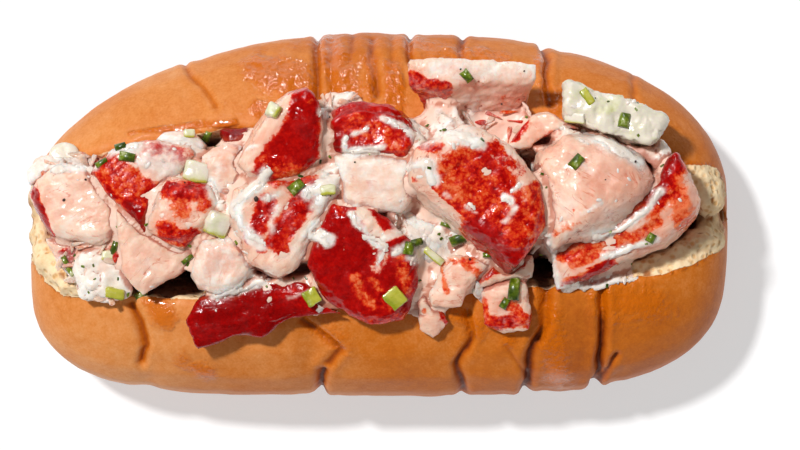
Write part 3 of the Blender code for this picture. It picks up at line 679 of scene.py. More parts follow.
# where the dressing lies: width in mm, strength, then places in mm from the roll's left front corner
creamStrokes = [
    (1.5, 0.9, 14.1, 54.2, 20, 54.5, 25.2, 55.1), (1.1, 0.8, 6.5, 51, 16.3, 50.8),
    (1.3, 0.55, 31.5, 56.8, 38.6, 55.3), (1.8, 0.45, 27.8, 52.3, 34.3, 49.7),
    (0.7, 0.8, 8.7, 30.6, 12, 24.1), (1.1, 0.9, 14.8, 21.9, 22.1, 20.6),
    (1.5, 0.95, 53.8, 49.7, 52.5, 47.5, 48.8, 44.3, 46.4, 42.1),
    (1.1, 0.9, 46.4, 42.1, 48.1, 37.8, 52.9, 33.4), (0.9, 0.6, 48.8, 54.5, 51.2, 54.9),
    (1.1, 0.7, 53.8, 44.1, 55.9, 44.7), (0.9, 0.45, 55.5, 41.5, 54.6, 36.7),
    (1.8, 0.85, 62.9, 45.4, 68.5, 48, 65, 42.3), (1.3, 0.7, 66.8, 49.7, 70.7, 51),
    (1.1, 0.7, 64.6, 38.9, 61.6, 35.6), (1.1, 0.75, 41.4, 46.9, 43.8, 41.9),
    (1.3, 0.8, 42.5, 22.8, 49.9, 24.8, 53.3, 26.9), (0.7, 0.5, 58.5, 22.8, 62.9, 23.7),
    (1.3, 0.85, 65.5, 62.5, 68.3, 65.1, 71.5, 65.9), (0.7, 0.8, 70.7, 57.1, 70.9, 54),
    (0.9, 0.85, 70.9, 54, 78, 54.5), (0.7, 0.6, 72, 57.5, 75.7, 59.2),
    (0.9, 0.8, 78.9, 61.2, 82.8, 59.7, 86.9, 56.4),
    (0.9, 0.85, 72.2, 41, 73.3, 38.9, 75, 35.4, 78.9, 33.2), (0.9, 0.8, 79.3, 35.8, 82.8, 36.7),
    (0.9, 0.6, 78.5, 32.3, 77.6, 29.3), (1.3, 0.85, 81.3, 32.3, 83.2, 33.6),
    (2.2, 0.95, 82.8, 38.9, 88, 34.5, 85.6, 31.5), (1.5, 0.8, 91.5, 58.4, 99.7, 55.3),
    (1.5, 0.9, 84.5, 51, 88.9, 51, 89.8, 47.5), (0.9, 0.9, 104.5, 44.1, 105.8, 43),
    (0.7, 0.7, 106.7, 45.8, 108.4, 47.1), (0.9, 0.6, 104.9, 39.3, 107.1, 41.9),
    (0.7, 0.65, 98.9, 41, 96.7, 42.3), (0.7, 0.45, 93.2, 44.1, 91.9, 44.9),
    (2.2, 0.85, 86.7, 37.1, 93.2, 34.7, 91.1, 32.6),
    (1.5, 0.8, 91.1, 62.3, 93.7, 60.7, 88.9, 58.6), (0.9, 0.7, 85.6, 61, 88, 57.5),
    (0.9, 0.5, 94.5, 63.1, 97.6, 59.7, 98.6, 64), (2, 0.95, 123.1, 59.2, 126.2, 56.4, 134.4, 52.3),
    (0.7, 0.55, 121.4, 40.8, 125.1, 42.5),
    (0.9, 0.85, 124, 35.4, 130.1, 37.3, 136.1, 41.9, 138.3, 45.4),
    (0.9, 0.75, 126.6, 31.5, 137.6, 34.9), (1.1, 0.75, 114, 35.8, 115.3, 30.2, 116.2, 25),
    (0.9, 0.4, 120.3, 52.3, 123.6, 49.7), (1.3, 0.6, 117.1, 59.2, 122.5, 56.6),
    (1.1, 0.95, 118.1, 24.1, 125.7, 25.2, 133.5, 26.3), (1.3, 1.3, 64.2, 36.2, 67, 34.9),
    (2.6, 0.55, 88.9, 56.6, 97.6, 58.4), (2.2, 0.5, 85, 50.6, 89.3, 48.8),
    (1.8, 0.9, 13.9, 54.5, 20, 54.5), (1.3, 0.8, 8.7, 52.3, 13.9, 53.2)]


def creamLevel(points):
    level = np.zeros(len(points))
    for stroke in creamStrokes:
        level = np.maximum(level, strokeLevel(points, rollCorner, np.ones(3), stroke))
    return level


# levels run from 0 to 1; a stroke is its width in mm, its strength, then places as shares of the node's box
meatLooks = {
    "claw_big": {"slot": "claw", "tone": 0.68, "film": 0.02, "grain": (45, 0), "lumps": 0.5,
        "skinFaces": [((-0.6, -0.75, 0.0), 0.45, 0.7, -1.7)],
        "skinStrokes": [(8.2, 1.3, 0.5, 0.63, 0.74, 0.27), (4.5, 1.3, 0.58, 0.33, 0.76, 0.1),
                        (2.4, 1.1, 0.07, 0.6, 0.2, 0.55, 0.37, 0.42, 0.53, 0.27, 0.72, 0.08),
                        (2.6, 0.9, 0.94, 0.58, 0.96, 0.38), (1.5, 0.7, 0.19, 0.87, 0.28, 0.85),
                        (1.5, 0.55, 0.64, 0.86, 0.83, 0.71)],
        "toneStrokes": [(3.1, -0.35, 0.56, 0.32, 0.76, 0.12), (2.9, -0.22, 0.61, 0.8, 0.79, 0.66),
                        (2.6, 0.15, 0.31, 0.67, 0.45, 0.55), (1.8, -0.1, 0.13, 0.61, 0.21, 0.55)]},
    "claw_tip": {"slot": "claw", "tone": 0.4, "film": 0.0, "grain": (60, 0),
        "skinStrokes": [(3.7, 1.15, 0.8, 0.83, 0.78, 0.31), (3.1, 1.0, 0.64, 0.46, 0.4, 0.14),
                        (2.6, 0.62, 0.49, 0.1, 0.95, 0.06)],
        "toneStrokes": [(1.8, -0.12, 0.8, 0.49), (2, 0.3, 0.42, 0.17, 0.74, 0.1),
                        (0.9, 0.2, 0.84, 0.85)]},
    "claw_front": {"slot": "claw", "skin": 1.0, "tone": 0.36, "film": 0.0, "grain": (70, 0), "lumps": 0.5,
        "skinStrokes": [(2, -0.9, 0.49, 0.92, 0.61, 0.69), (1.3, -0.7, 0.68, 0.73, 0.82, 0.76),
                        (1.5, -0.5, 0.67, 0.57, 0.61, 0.47)],
        "toneStrokes": [(1.1, 0.55, 0.42, 0.4, 0.47, 0.23, 0.56, 0.16),
                        (0.9, 0.5, 0.56, 0.37, 0.63, 0.29), (1.5, 0.38, 0.81, 0.55, 0.88, 0.29),
                        (1.3, 0.2, 0.37, 0.05, 0.85, 0.06), (2, 0.15, 0.28, 0.95),
                        (1.8, 0.15, 0.63, 0.21, 0.81, 0.13)]},
    "claw_long": {"slot": "claw", "skin": 1.05, "tone": 0.24, "film": 0.0, "grain": (0, 0),
        "toneStrokes": [(2.6, 0.18, 0.63, 0.78, 0.95, 0.5)]},
    "claw_right": {"slot": "claw", "skin": 0.22, "tone": 0.86, "film": 0.12, "grain": (40, 0),
        "fibres": 0.3,
        "skinStrokes": [(1.3, 1.3, 0.07, 0.02, 0.4, 0.2), (2.4, 1.2, 0.08, 0.3, 0.4, 0.5),
                        (2.0, 0.9, 0.3, 0.42, 0.6, 0.66), (3.8, 2.2, 0.6, 0.66, 0.7, 0.8, 0.77, 0.95),
                        (1.5, 0.8, 0.15, 0.2, 0.45, 0.38), (1.3, 0.7, 0.42, 0.3, 0.7, 0.5),
                        (2.4, 0.5, 0.82, 0.68, 0.88, 0.5)],
        "blushStrokes": [(6.0, 0.8, 0.2, 0.3, 0.6, 0.5), (4.0, 0.9, 0.85, 0.55, 0.8, 0.4)],
        "toneStrokes": [(3.4, -0.6, 0.64, 0.72, 0.76, 0.95), (1.1, -0.5, 0.07, 0.02, 0.4, 0.2)]},
    "claw_dome": {"slot": "claw", "skin": 0.2, "tone": 0.42, "film": 0.05, "grain": (10, 0), "fibres": 0.4,
        "skinStrokes": [(7.5, 1.0, 0.1, 0.65, 0.91, 0.27)],
        "toneStrokes": [(2.6, 0.3, 0.32, 0.6, 0.76, 0.27), (2.2, -0.2, 0.06, 0.44, 0.17, 0.16)]},
    "knuckle_mid": {"slot": "claw", "skin": 0.15, "tone": 0.5, "film": 0.12, "grain": (50, 0),
        "skinStrokes": [(2, 0.95, 0.36, 0.7, 0.24, 0.42), (1.1, 0.8, 0.31, 0.29),
                        (2.6, 1.0, 0.66, 0.69, 0.45, 0.37), (1.5, 0.8, 0.76, 0.69),
                        (1.3, 0.8, 0.51, 0.29), (2.9, 0.65, 0.45, 0.94, 0.76, 0.83),
                        (1.3, 0.6, 0.98, 0.72)]},
    "claw_left": {"slot": "claw", "skin": 0.0, "tone": 0.62, "film": 0.1, "grain": (30, 0),
        "skinStrokes": [(4.8, 1.1, 0.14, 0.72, 0.46, 0.45), (2.4, 1.1, 0.45, 0.45, 0.56, 0.11),
                        (3.3, 0.65, 0.55, 0.9, 0.87, 0.78), (2.2, 0.85, 0.6, 0.5, 0.66, 0.38),
                        (1.3, -0.6, 0.91, 0.62, 0.6, 0.23)],
        "toneStrokes": [(1.8, -0.42, 0.43, 0.34, 0.56, 0.11), (2.2, 0.12, 0.27, 0.65, 0.45, 0.5),
                        (2.6, -0.3, 0.59, 0.9, 0.87, 0.78)],
        "filmStrokes": [(4.0, 0.3, 0.55, 0.85, 0.87, 0.75)]},
    "knuckle_left": {"slot": "claw", "skin": 0.22, "tone": 0.8, "film": 0.1,
        "toneStrokes": [(2.2, -0.3, 0.32, 0.81, 0.81, 0.84), (2.2, -0.25, 0.25, 0.26, 0.67, 0.16)],
        "skinStrokes": [(2.2, 0.8, 0.32, 0.81, 0.81, 0.84), (2.9, 0.55, 0.5, 0.6),
                        (2.2, 0.85, 0.25, 0.26, 0.67, 0.16), (1.5, 0.75, 0.83, 0.61)]},
    "knuckle_tip": {"slot": "claw", "skin": 0.15, "tone": 0.62, "film": 0.15,
        "skinStrokes": [(2, 0.95, 0.11, 0.15, 0.92, 0.23), (1.1, 0.6, 0.08, 0.57, 0.11, 0.32),
                        (1.1, 0.5, 0.49, 0.57, 0.78, 0.4)]},
    "knuckle_low": {"slot": "claw", "skin": 0.1, "tone": 0.6, "film": 0.1,
        "skinStrokes": [(1.3, 0.8, 0.08, 0.39, 0.8, 0.78)]},
    "claw_far": {"slot": "claw", "skin": 0.95, "tone": 0.12, "film": 0.05},
    "knuckle_low_left": {"slot": "claw", "skin": 0.05, "tone": 0.4, "film": 0.3,
        "skinStrokes": [(1.8, 1.1, 0.43, 0.56, 0.52, 0.01), (1.5, 0.6, 0.65, 0.71, 0.87, 0.56)]},
    "tail_top": {"film": 0.18, "tone": 0.65, "grain": (0, 60), "fibres": 0.15, "round": 6,
        "slope": (3.0, 0.7, 0.3), "wedge": 0.62, "squat": 0.72, "taper": 0.3,
        "filmStrokes": [(2.6, 0.4, 0.25, 0.86, 0.9, 0.86)],
        "blushStrokes": [(3.0, 0.15, 0.3, 0.3, 0.9, 0.35)],
        "skinStrokes": [(2.2, 1.6, 0.06, 0.72, 0.1, 0.5), (2.4, 1.5, 0.1, 0.66, 0.26, 0.6),
                        (2, 1.1, 0.2, 0.5, 0.24, 0.42), (1.8, 1.2, 0.07, 0.41, 0.14, 0.1),
                        (1.3, 0.95, 0.76, -0.02, 0.95, 0.39), (2, 0.35, 0.66, 0.51, 0.96, 0.48),
                        (1.8, 0.3, 0.46, 0.18, 0.53, 0)],
        "toneStrokes": [(1.8, -0.4, 0.07, 0.34, 0.14, 0.1)]},
    "tail_middle": {"film": 0.42, "grain": (0, 0), "lumps": 0.35, "pebble": 0.03, "fibres": 0.03,
        "folds": 0.15, "round": 5, "blushStrokes": [(2.2, 0.7, 0.46, 0.42)]},
    "tail_right": {"film": 0.1, "tone": 0.75, "grain": (-30, 0), "lumps": 1.0, "dome": 0.5, "round": 20,
        "pebble": 0.04, "fibres": 0.05,
        "blushStrokes": [(6.5, 1.0, 0.6, 0.62, 0.8, 0.6), (3.5, 0.4, 0.2, 0.3)],
        "skinStrokes": [(1.1, 0.45, 0.11, 0.21, 0.36, 0.3), (0.7, 0.6, 0.32, 0.4)]},
    "tail_left": {"film": 0.1, "tone": 0.6, "grain": (20, 0), "lumps": 0.6, "pebble": 0.04,
        "fibres": 0.04, "round": 6,
        "blushStrokes": [(3.0, 0.3, 0.3, 0.6), (3.0, 0.35, 0.8, 0.3)],
        "skinStrokes": [(1.3, 1.2, 0.11, 0.66, 0.28, 0.15), (1.5, 0.8, 0.11, 0.82),
                        (1.8, 0.28, 0.82, 0.8, 1.03, 0.4)],
        "toneStrokes": [(1.3, -0.3, 0.11, 0.66, 0.28, 0.15), (1.3, 0.2, 0.11, 0.82)]},
    "tail_front_left": {"film": 0.05, "grain": (50, 0), "lumps": 0.5, "pebble": 0.04,
        "fibres": 0.04, "round": 5, "blushStrokes": [(3.0, 0.4, 0.4, 0.4)]},
    "tail_front": {"film": 0.45, "grain": (60, 0), "lumps": 0.9, "fibres": 0.05},
    "knuckle_far_left": {"film": 0.35, "skin": 0.05, "tone": 0.8},
    "flap_far": {"film": 0.1, "tone": 0.5,
        "skinStrokes": [(1.8, 0.9, 0.22, 0.72, 0.06, 0.39), (0.9, 0.6, 0.53, 0.44, 0.92, 0.58)]},
    "knuckle_front": {"film": 0.15, "skin": 0.15, "tone": 0.85,
        "skinStrokes": [(0.8, 0.6, 0.14, 0.84, 0.85, 0.91), (0.8, 0.5, 0.2, 0.73, 0.29, 0.29),
                        (1.2, 0.6, 0.63, 0.8, 0.97, 0.44)]},
    "shred_front": {"film": 0.15, "skin": 0.1, "tone": 0.6,
        "skinStrokes": [(0.9, 0.8, 0.72, 0.75, 0.92, 0.26), (0.7, 0.5, 0.28, 0.56)]},
    "knuckle_centre": {"film": 0.5},
    "strip_far": {"film": 0.45},
    "knuckle_end": {"film": 0.8},
}


def shapeMeat(node, look):
    piece = copyNode(node, "meat_" + node)
    finishWith(piece, "REMESH", mode="VOXEL", voxel_size=look.get("voxel", 0.5) * mm)
    finishWith(piece, "SMOOTH", factor=0.5, iterations=look.get("round", 2))
    low, high = [np.array(corner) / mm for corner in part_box(node)]
    points = pointsOf(piece)
    share = (points - low) / (high - low)
    middle, half = (low + high) / 2, (high - low) / 2
    away = (points - middle) / half
    ball = middle + half * away / np.maximum(np.linalg.norm(away, axis=1), 0.001)[:, None]
    points = points + (ball - points) * look.get("dome", 0.0)
    points[:, 2] = low[2] + (points[:, 2] - low[2]) * look.get("squat", 1.0)
    points[:, 0] += (middle[0] - points[:, 0]) * look.get("taper", 0.0) * (1.0 - share[:, 2])
    if "wedge" in look:  # a front face that leans back as it rises
        steps = np.linspace(0.05, 0.95, 10)
        front = [points[np.abs(share[:, 2] - step) < 0.08, 1].min() for step in steps]
        front = np.interp(share[:, 2], steps, front)
        aim = low[1] + (high[1] - low[1]) * look["wedge"] * np.clip(share[:, 2], 0.0, 1.0)
        points[:, 1] = high[1] - (high[1] - points[:, 1]) * (high[1] - aim) / (high[1] - front)
        share = (points - low) / (high - low)
    drop, start, end = look.get("slope", (0.0, 0.5, 0.0))
    points[:, 2] -= drop * ease(-share[:, 1], -start, -end) * ease(share[:, 2], 0.1, 0.9)
    movePoints(piece, points)
    normals = normalsOf(piece)
    seed = sum(map(ord, node)) % 97
    yaw, pitch = [math.radians(angle) for angle in look.get("grain", (0, 0))]
    turn = np.array(Matrix.Rotation(pitch, 3, "Y") @ Matrix.Rotation(-yaw, 3, "Z"))
    own = points @ turn.T
    bend = wave(points, 5.0, seed + 11, 3)
    bent = points + np.stack([bend, np.roll(bend, 1), bend * 0], 1) * 0.8
    levels = {}
    for name, usual in (("skin", 0.0), ("film", 0.0), ("tone", 0.5), ("blush", 0.0)):
        level = np.full(len(points), float(look.get(name, usual)))
        for stroke in look.get(name + "Strokes", []):
            level += strokeLevel(bent, low, high - low, stroke, 4)
        levels[name] = level
    for direction, start, end, change in look.get("skinFaces", []):
        aim = np.array(direction, float) / np.linalg.norm(direction)
        levels["skin"] += change * ease(normals @ aim, start, end)
    levels["skin"] = levels["skin"] * ease(normals[:, 2], -0.5, 0.1)
    cream = creamLevel(bent) * ease(normals[:, 2], -0.3, 0.4)
    levels["film"] = levels["film"] + cream + wave(points, 3.0, seed + 5, 3) * 0.15
    film = np.clip(levels["film"], 0.0, 1.0)
    relief = wave(points, 7.0, seed, 4) * look.get("lumps", 0.55)
    fold = wave(own * np.array([0.5, 1.0, 1.0]), 8.0, seed + 13, 3)
    relief -= np.exp(-((fold / 0.07) ** 2)) * look.get("folds", 0.22)
    layer = wave(own * np.array([0.45, 1.0, 1.0]), 7.0, seed + 17, 4)
    relief += (ease(layer, -0.04, 0.04) - 0.5) * look.get("layers", 0.18)
    relief += wave(own * np.array([0.22, 1.0, 1.0]), 1.5, seed + 3, 2) * look.get("fibres", 0.1)
    relief += wave(points, 1.6, seed + 7, 2) * look.get("pebble", 0.1)
    relief = relief * (1.0 - 0.75 * ease(film, 0.3, 0.8)) - 0.15 + ease(film, 0.35, 0.95) * 0.3
    movePoints(piece, points + normals * relief[:, None])
    for name, level in levels.items():
        paint(piece, name, level)
    paintGrain(piece, own)
    settlePiece(piece, look.get("slot", "flesh"), meatFinish, node)
    return piece


meat = {node: shapeMeat(node, look) for node, look in meatLooks.items()}
print("lobster pieces", sum(len(piece.data.polygons) for piece in meat.values()), "faces")


# dressed lumps and the celery slab

def shapeLump(node, name, slot, material):
    piece = copyNode(node, name)
    finishWith(piece, "REMESH", mode="VOXEL", voxel_size=0.5 * mm)
    finishWith(piece, "SMOOTH", factor=0.5, iterations=5)
    points, normals = pointsOf(piece), normalsOf(piece)
    relief = wave(points, 6.0, 5.0, 4) * 1.1 + wave(points, 1.8, 8.0, 2) * 0.15
    crease = wave(points, 5.0, 21.0, 3)
    relief -= np.exp(-((crease / 0.08) ** 2)) * 0.5
    movePoints(piece, points + normals * relief[:, None])
    paint(piece, "green", 0.06 + 0.16 * ease(wave(points, 5.0, 23.0, 3), 0.0, 0.4))
    paint(piece, "pink", 0.5 * ease(wave(points, 5.0, 25.0, 3), 0.0, 0.5))
    settlePiece(piece, slot, material, node)
    return piece


lumpFar = shapeLump("lump_far", "dressed_lump_far", "dressing", dressingFinish)
lumpLeft = shapeLump("lump_left", "dressed_lump_left", "dressing", dressingFinish)
celerySlab = shapeLump("celery_slab", "celery_slab_dressed", "celery", celeryFinish)
print("lumps and celery ready")


# dressing that fills the gaps between the pieces and lies on them

dressingLook = {"voxel": 0.6, "closing": 1.5, "sunk": 0.9, "proud": 1.25, "hollow": 5.0}

# places left open, sunk and painted near-black as painted shade, as strokes from the roll's left front
# corner
hollowStrokes = [
    (1.32, 0.9, 52.2, 28.4, 58.3, 27.9), (1.1, 0.8, 58.3, 27.9, 63.1, 28.8),
    (1.54, 1, 27.7, 24.4, 38.2, 24), (1.76, 1, 111.9, 31, 113.4, 25.3),
    (1.54, 1, 28, 23.9, 36.3, 25.4), (1.32, 1, 111.5, 30.2, 112.2, 25.4),
    (1.1, 0.8, 108.9, 56.7, 113.9, 56.7), (0.88, 0.7, 40.2, 52.8, 42.8, 54.5),
    (0.88, 0.9, 54.1, 26.9, 58.5, 28), (0.66, 0.6, 78.7, 41, 80.6, 38.9),
    (0.44, 0.3, 44.3, 28.9, 45.4, 29.3), (0.88, 0.7, 134.5, 54.5, 137.2, 51.2),
    (0.88, 0.7, 94.3, 21.9, 95.9, 20.8)]


def keepTopIsland(piece):  # drops the small closed pockets that a remesh leaves inside
    soloSelect(piece)
    top = int(pointsOf(piece)[:, 2].argmax())
    bpy.ops.object.mode_set(mode="EDIT")
    bpy.ops.mesh.select_mode(type="VERT")
    bpy.ops.mesh.select_all(action="DESELECT")
    bpy.ops.object.mode_set(mode="OBJECT")
    piece.data.vertices[top].select = True
    bpy.ops.object.mode_set(mode="EDIT")
    bpy.ops.mesh.select_linked()
    bpy.ops.mesh.select_all(action="INVERT")
    bpy.ops.mesh.delete(type="VERT")
    bpy.ops.object.mode_set(mode="OBJECT")


def swell(piece, reach, voxel):
    finishWith(piece, "REMESH", mode="VOXEL", voxel_size=voxel * mm)
    points, normals = pointsOf(piece), normalsOf(piece)
    movePoints(piece, points + normals * reach)


# spoonfuls that fill the wider gaps: place, radius and height in mm
dollopSpots = [
    (95.9, 59, 4, 40), (99.3, 59.8, 4, 40.5), (102.8, 60.6, 4, 41), (105.9, 61, 4, 41),
    (108.5, 59.5, 3.5, 40.5), (94.3, 62, 4, 39), (104.1, 62.8, 4, 40), (99, 62.4, 4, 40),
    (13.7, 53.2, 4, 30), (17.3, 53.6, 4, 31), (20.9, 54.2, 4, 32), (24.4, 55.1, 4, 32),
    (28, 55.5, 4, 33), (5.9, 50.7, 4.5, 31), (10, 51.1, 4, 33), (82.4, 37.5, 5, 39),
    (86.3, 35.4, 5.5, 39), (90.2, 33.6, 5, 39), (87.8, 31, 4, 38), (91, 61.4, 3.6, 46),
    (92.8, 59.2, 3.6, 48), (87.8, 59.2, 3.5, 44), (123.7, 58.4, 4, 42), (127.1, 56.7, 4.5, 43),
    (130.6, 54.5, 4, 42), (134.7, 52.4, 3.5, 40), (119, 24.3, 1.7, 39.5), (122, 24.7, 1.8, 39.5),
    (125.1, 24.9, 1.8, 39), (128.2, 25.3, 1.7, 38.5), (130.8, 25.8, 1.6, 38),
    (133.5, 26.2, 1.5, 37), (67.2, 45.8, 5, 46), (69, 48.4, 4, 46), (68.2, 64.3, 3.5, 40),
    (71.5, 65.4, 3, 40), (65.4, 61, 3.2, 42), (42.2, 48, 4, 42), (39.9, 41.5, 4, 40),
    (34.5, 39.7, 4, 40), (21, 31.6, 5, 33), (17.6, 33.2, 4, 32), (45.7, 23.6, 4.5, 37),
    (50.7, 24.9, 4.5, 38), (113.9, 34.9, 4, 41), (97.6, 30.1, 4, 40), (94.4, 24, 4, 38)]


def shapeDollop(x, y, radius, height):
    bpy.ops.mesh.primitive_ico_sphere_add(subdivisions=3, radius=radius * mm)
    dollop = bpy.context.active_object
    place = Vector((rollCorner[0] + x, rollCorner[1] + y, height)) * mm
    dollop.data.transform(Matrix.Translation(place) @ Matrix.Diagonal((1.25, 1.0, 0.6, 1.0)))
    return dollop


def mouldOf(node):  # the piece as it is shown where it was reshaped, else as modelled
    if not {"squat", "dome"} & set(meatLooks.get(node, {})):
        return copyNode(node, "mould")
    mould = bpy.data.objects.new("mould", meat[node].data.copy())
    bpy.context.scene.collection.objects.link(mould)
    mould.data.materials.clear()
    return mould


def shapeDressing():
    look = dressingLook
    parts = [mouldOf(node) for node in ["salad_bed", "lump_far", "lump_left", *meatLooks]]
    parts += [shapeDollop(*spot) for spot in dollopSpots]
    soloSelect(parts[0])
    for part in parts:
        part.select_set(True)
    bpy.ops.object.join()
    piece = parts[0]
    piece.name = "cream_dressing"
    swell(piece, look["closing"], look["voxel"])
    swell(piece, -look["closing"], look["voxel"])
    finishWith(piece, "REMESH", mode="VOXEL", voxel_size=look["voxel"] * mm)
    finishWith(piece, "SMOOTH", factor=0.5, iterations=4)
    keepTopIsland(piece)
    points, normals = pointsOf(piece), normalsOf(piece)
    bend = wave(points, 4.0, 2.0, 3)
    bent = points + np.stack([bend, np.roll(bend, 1), bend * 0], 1)
    level = creamLevel(bent) * ease(normals[:, 2], -0.3, 0.4)
    hollow = np.zeros(len(points))
    for stroke in hollowStrokes:
        hollow = np.maximum(hollow, strokeLevel(points, rollCorner, np.ones(3), stroke, 4))
    level += wave(points, 3.0, 9.0, 3) * 0.22
    relief = wave(points, 5.0, 4.0, 4) * 0.7 + wave(points, 1.7, 6.0, 2) * 0.12
    lift = -look["sunk"] + look["proud"] * ease(level, 0.3, 0.85)
    lift = lift + relief * (1.0 - 0.8 * ease(level, 0.4, 0.8))
    points = points + normals * lift[:, None]
    points[:, 2] -= hollow * look["hollow"]
    movePoints(piece, points)
    paint(piece, "pink", 0.9 - ease(level, 0.0, 0.5) * 0.8)
    # the hollows are painted near-black, as painted shade
    paint(piece, "painted_shade", hollow)
    settlePiece(piece, "dressing", dressingFinish, "salad_bed")
    return piece


dressing = shapeDressing()
print("dressing", len(dressing.data.polygons), "faces")


# small things laid on the heap

def surfaceTree(pieces):
    points, corners, start = [], [], 0
    for piece in pieces:
        mesh = piece.data
        mesh.calc_loop_triangles()
        triangles = np.empty(len(mesh.loop_triangles) * 3, np.int32)
        mesh.loop_triangles.foreach_get("vertices", triangles)
        corners.append(triangles.reshape(-1, 3) + start)
        points.append(pointsOf(piece))
        start += len(mesh.vertices)
    return BVHTree.FromPolygons(np.concatenate(points).tolist(), np.concatenate(corners).tolist())


def countTriangles(*pieces):
    return sum(len(piece.data.loop_triangles) for piece in pieces)


heap = surfaceTree([dressing, lumpFar, lumpLeft, celerySlab, *meat.values(), bun])
dressingFaces = countTriangles(dressing)
dressedFaces = dressingFaces + countTriangles(lumpFar, lumpLeft, celerySlab)
fillingFaces = dressedFaces + countTriangles(*meat.values())
corner = Vector((cadLow.x / mm, cadLow.y / mm, 0.0))
pitLook = {"reach": 4.0, "rise": 0.4, "lowest": 22.0, "gain": 2.8}


def paintPits(piece):  # how closely each point is hemmed in by what stands around it, which the finishes paint as shade in the gaps
    reach = pitLook["reach"]
    ways = [Vector((x, y, pitLook["rise"])).normalized() for x, y in ((1, 0), (-1, 0), (0, 1), (0, -1))]
    levels = []
    for point, normal in zip(pointsOf(piece).tolist(), normalsOf(piece).tolist()):
        level, tried = 0.0, 0
        if point[2] > pitLook["lowest"] and normal[2] > -0.35:
            spot, normal = Vector(point), Vector(normal)
            start = spot + normal * 0.15
            for way in ways:
                if normal.dot(way) > 0.1:
                    tried += 1
                    depth = heap.ray_cast(start, way, reach)[3]
                    level += 0.0 if depth is None else 1.0 - depth / reach
        levels.append(pitLook["gain"] * level / max(tried, 2))
    paint(piece, "pit", np.array(levels))


for piece in [dressing, lumpFar, lumpLeft, *meat.values()]:
    paintPits(piece)
print("pits painted")


def dropAt(x, y):  # the top of the heap there, in mm from the left front corner
    spot, normal, index, depth = heap.ray_cast(corner + Vector((x, y, 90.0)), Vector((0, 0, -1)))
    return spot, normal


def facesUnder(x, y):  # which face of the heap shows there
    spot, normal, index, depth = heap.ray_cast(corner + Vector((x, y, 90.0)), Vector((0, 0, -1)))
    return fillingFaces if index is None else index


def soften(piece, size, depth, seed):  # uneven sides for a small thing
    points, normals = pointsOf(piece), normalsOf(piece)
    movePoints(piece, points + normals * (wave(points, size, seed, 3) * depth)[:, None])


def layCopy(base, x, y, yaw=0.0, tilt=0.0, size=(1, 1, 1), lift=0.0, upright=0.0):
    spot, normal = dropAt(x, y)
    if spot is None:
        return None
    lean = normal.lerp(Vector((0, 0, 1)), upright).normalized()
    turn = Vector((0, 0, 1)).rotation_difference(lean).to_matrix()
    turn = turn @ Matrix.Rotation(math.radians(yaw), 3, "Z") @ Matrix.Rotation(math.radians(tilt), 3, "Y")
    stretch = Matrix.Diagonal((*size, 1.0))
    place = Matrix.Translation((spot + lean * lift) * mm) @ turn.to_4x4() @ stretch
    piece = bpy.data.objects.new("laid", base.data.copy())
    bpy.context.scene.collection.objects.link(piece)
    piece.data.transform(place)
    return piece


def gather(pieces, name, slot, material):  # joins the laid copies into one piece
    pieces = [piece for piece in pieces if piece]
    soloSelect(pieces[0])
    for piece in pieces:
        piece.select_set(True)
    bpy.ops.object.join()
    pieces[0].name = name
    settlePiece(pieces[0], slot, material)
    print(name, len(pieces[0].data.polygons), "faces")
    return pieces[0]


fleckLook = {"count": 60, "seed": 31, "size": (0.3, 0.65)}


def layFlecks():  # specks of chopped herb stirred through the dressing
    chance = random.Random(fleckLook["seed"])
    base = cutCube((1.0, 1.0, 1.0), 77.0, 1, 0.2)
    laid = []
    while len(laid) < fleckLook["count"]:
        x, y = chance.uniform(4, 148), chance.uniform(17, 66)
        spot, normal = dropAt(x, y)
        if spot is None or spot.z < 27.0 or normal.z < 0.2 or facesUnder(x, y) >= dressedFaces:
            continue
        size = chance.uniform(*fleckLook["size"])
        laid.append(layCopy(base, x, y, chance.uniform(0, 360), 0.0,
                            (size * chance.uniform(1.0, 2.0), size, size * 0.5), 0.05))
    dropBase(base)
    return gather(laid, "herb_flecks", "celery", chiveFinish)


def dropBase(base):
    bpy.data.objects.remove(base)


def cutCube(size, seed, cuts=3, soft=0.12):  # a knife-cut dice with slightly soft corners
    bpy.ops.mesh.primitive_cube_add(size=1.0)
    base = bpy.context.active_object
    base.data.transform(Matrix.Diagonal((*[side * mm for side in size], 1.0)))
    bpy.ops.object.mode_set(mode="EDIT")
    bpy.ops.mesh.select_all(action="SELECT")
    bpy.ops.mesh.bevel(offset=min(size) * soft * mm, segments=2, affect="EDGES")
    bpy.ops.mesh.select_all(action="SELECT")
    bpy.ops.mesh.subdivide(number_cuts=cuts)
    bpy.ops.object.mode_set(mode="OBJECT")
    soften(base, min(size) * 0.9, min(size) * 0.16, seed)
    return base


def cutRound(size, seed):  # a flat round slice
    bpy.ops.mesh.primitive_uv_sphere_add(segments=24, ring_count=12, radius=0.5)
    base = bpy.context.active_object
    base.data.transform(Matrix.Diagonal((*[side * mm for side in size], 1.0)))
    points = pointsOf(base)
    points[:, 2] = np.tanh(points[:, 2] / size[2] * 4.0) * size[2] * 0.4
    movePoints(base, points)
    soften(base, 2.0, 0.25, seed)
    return base


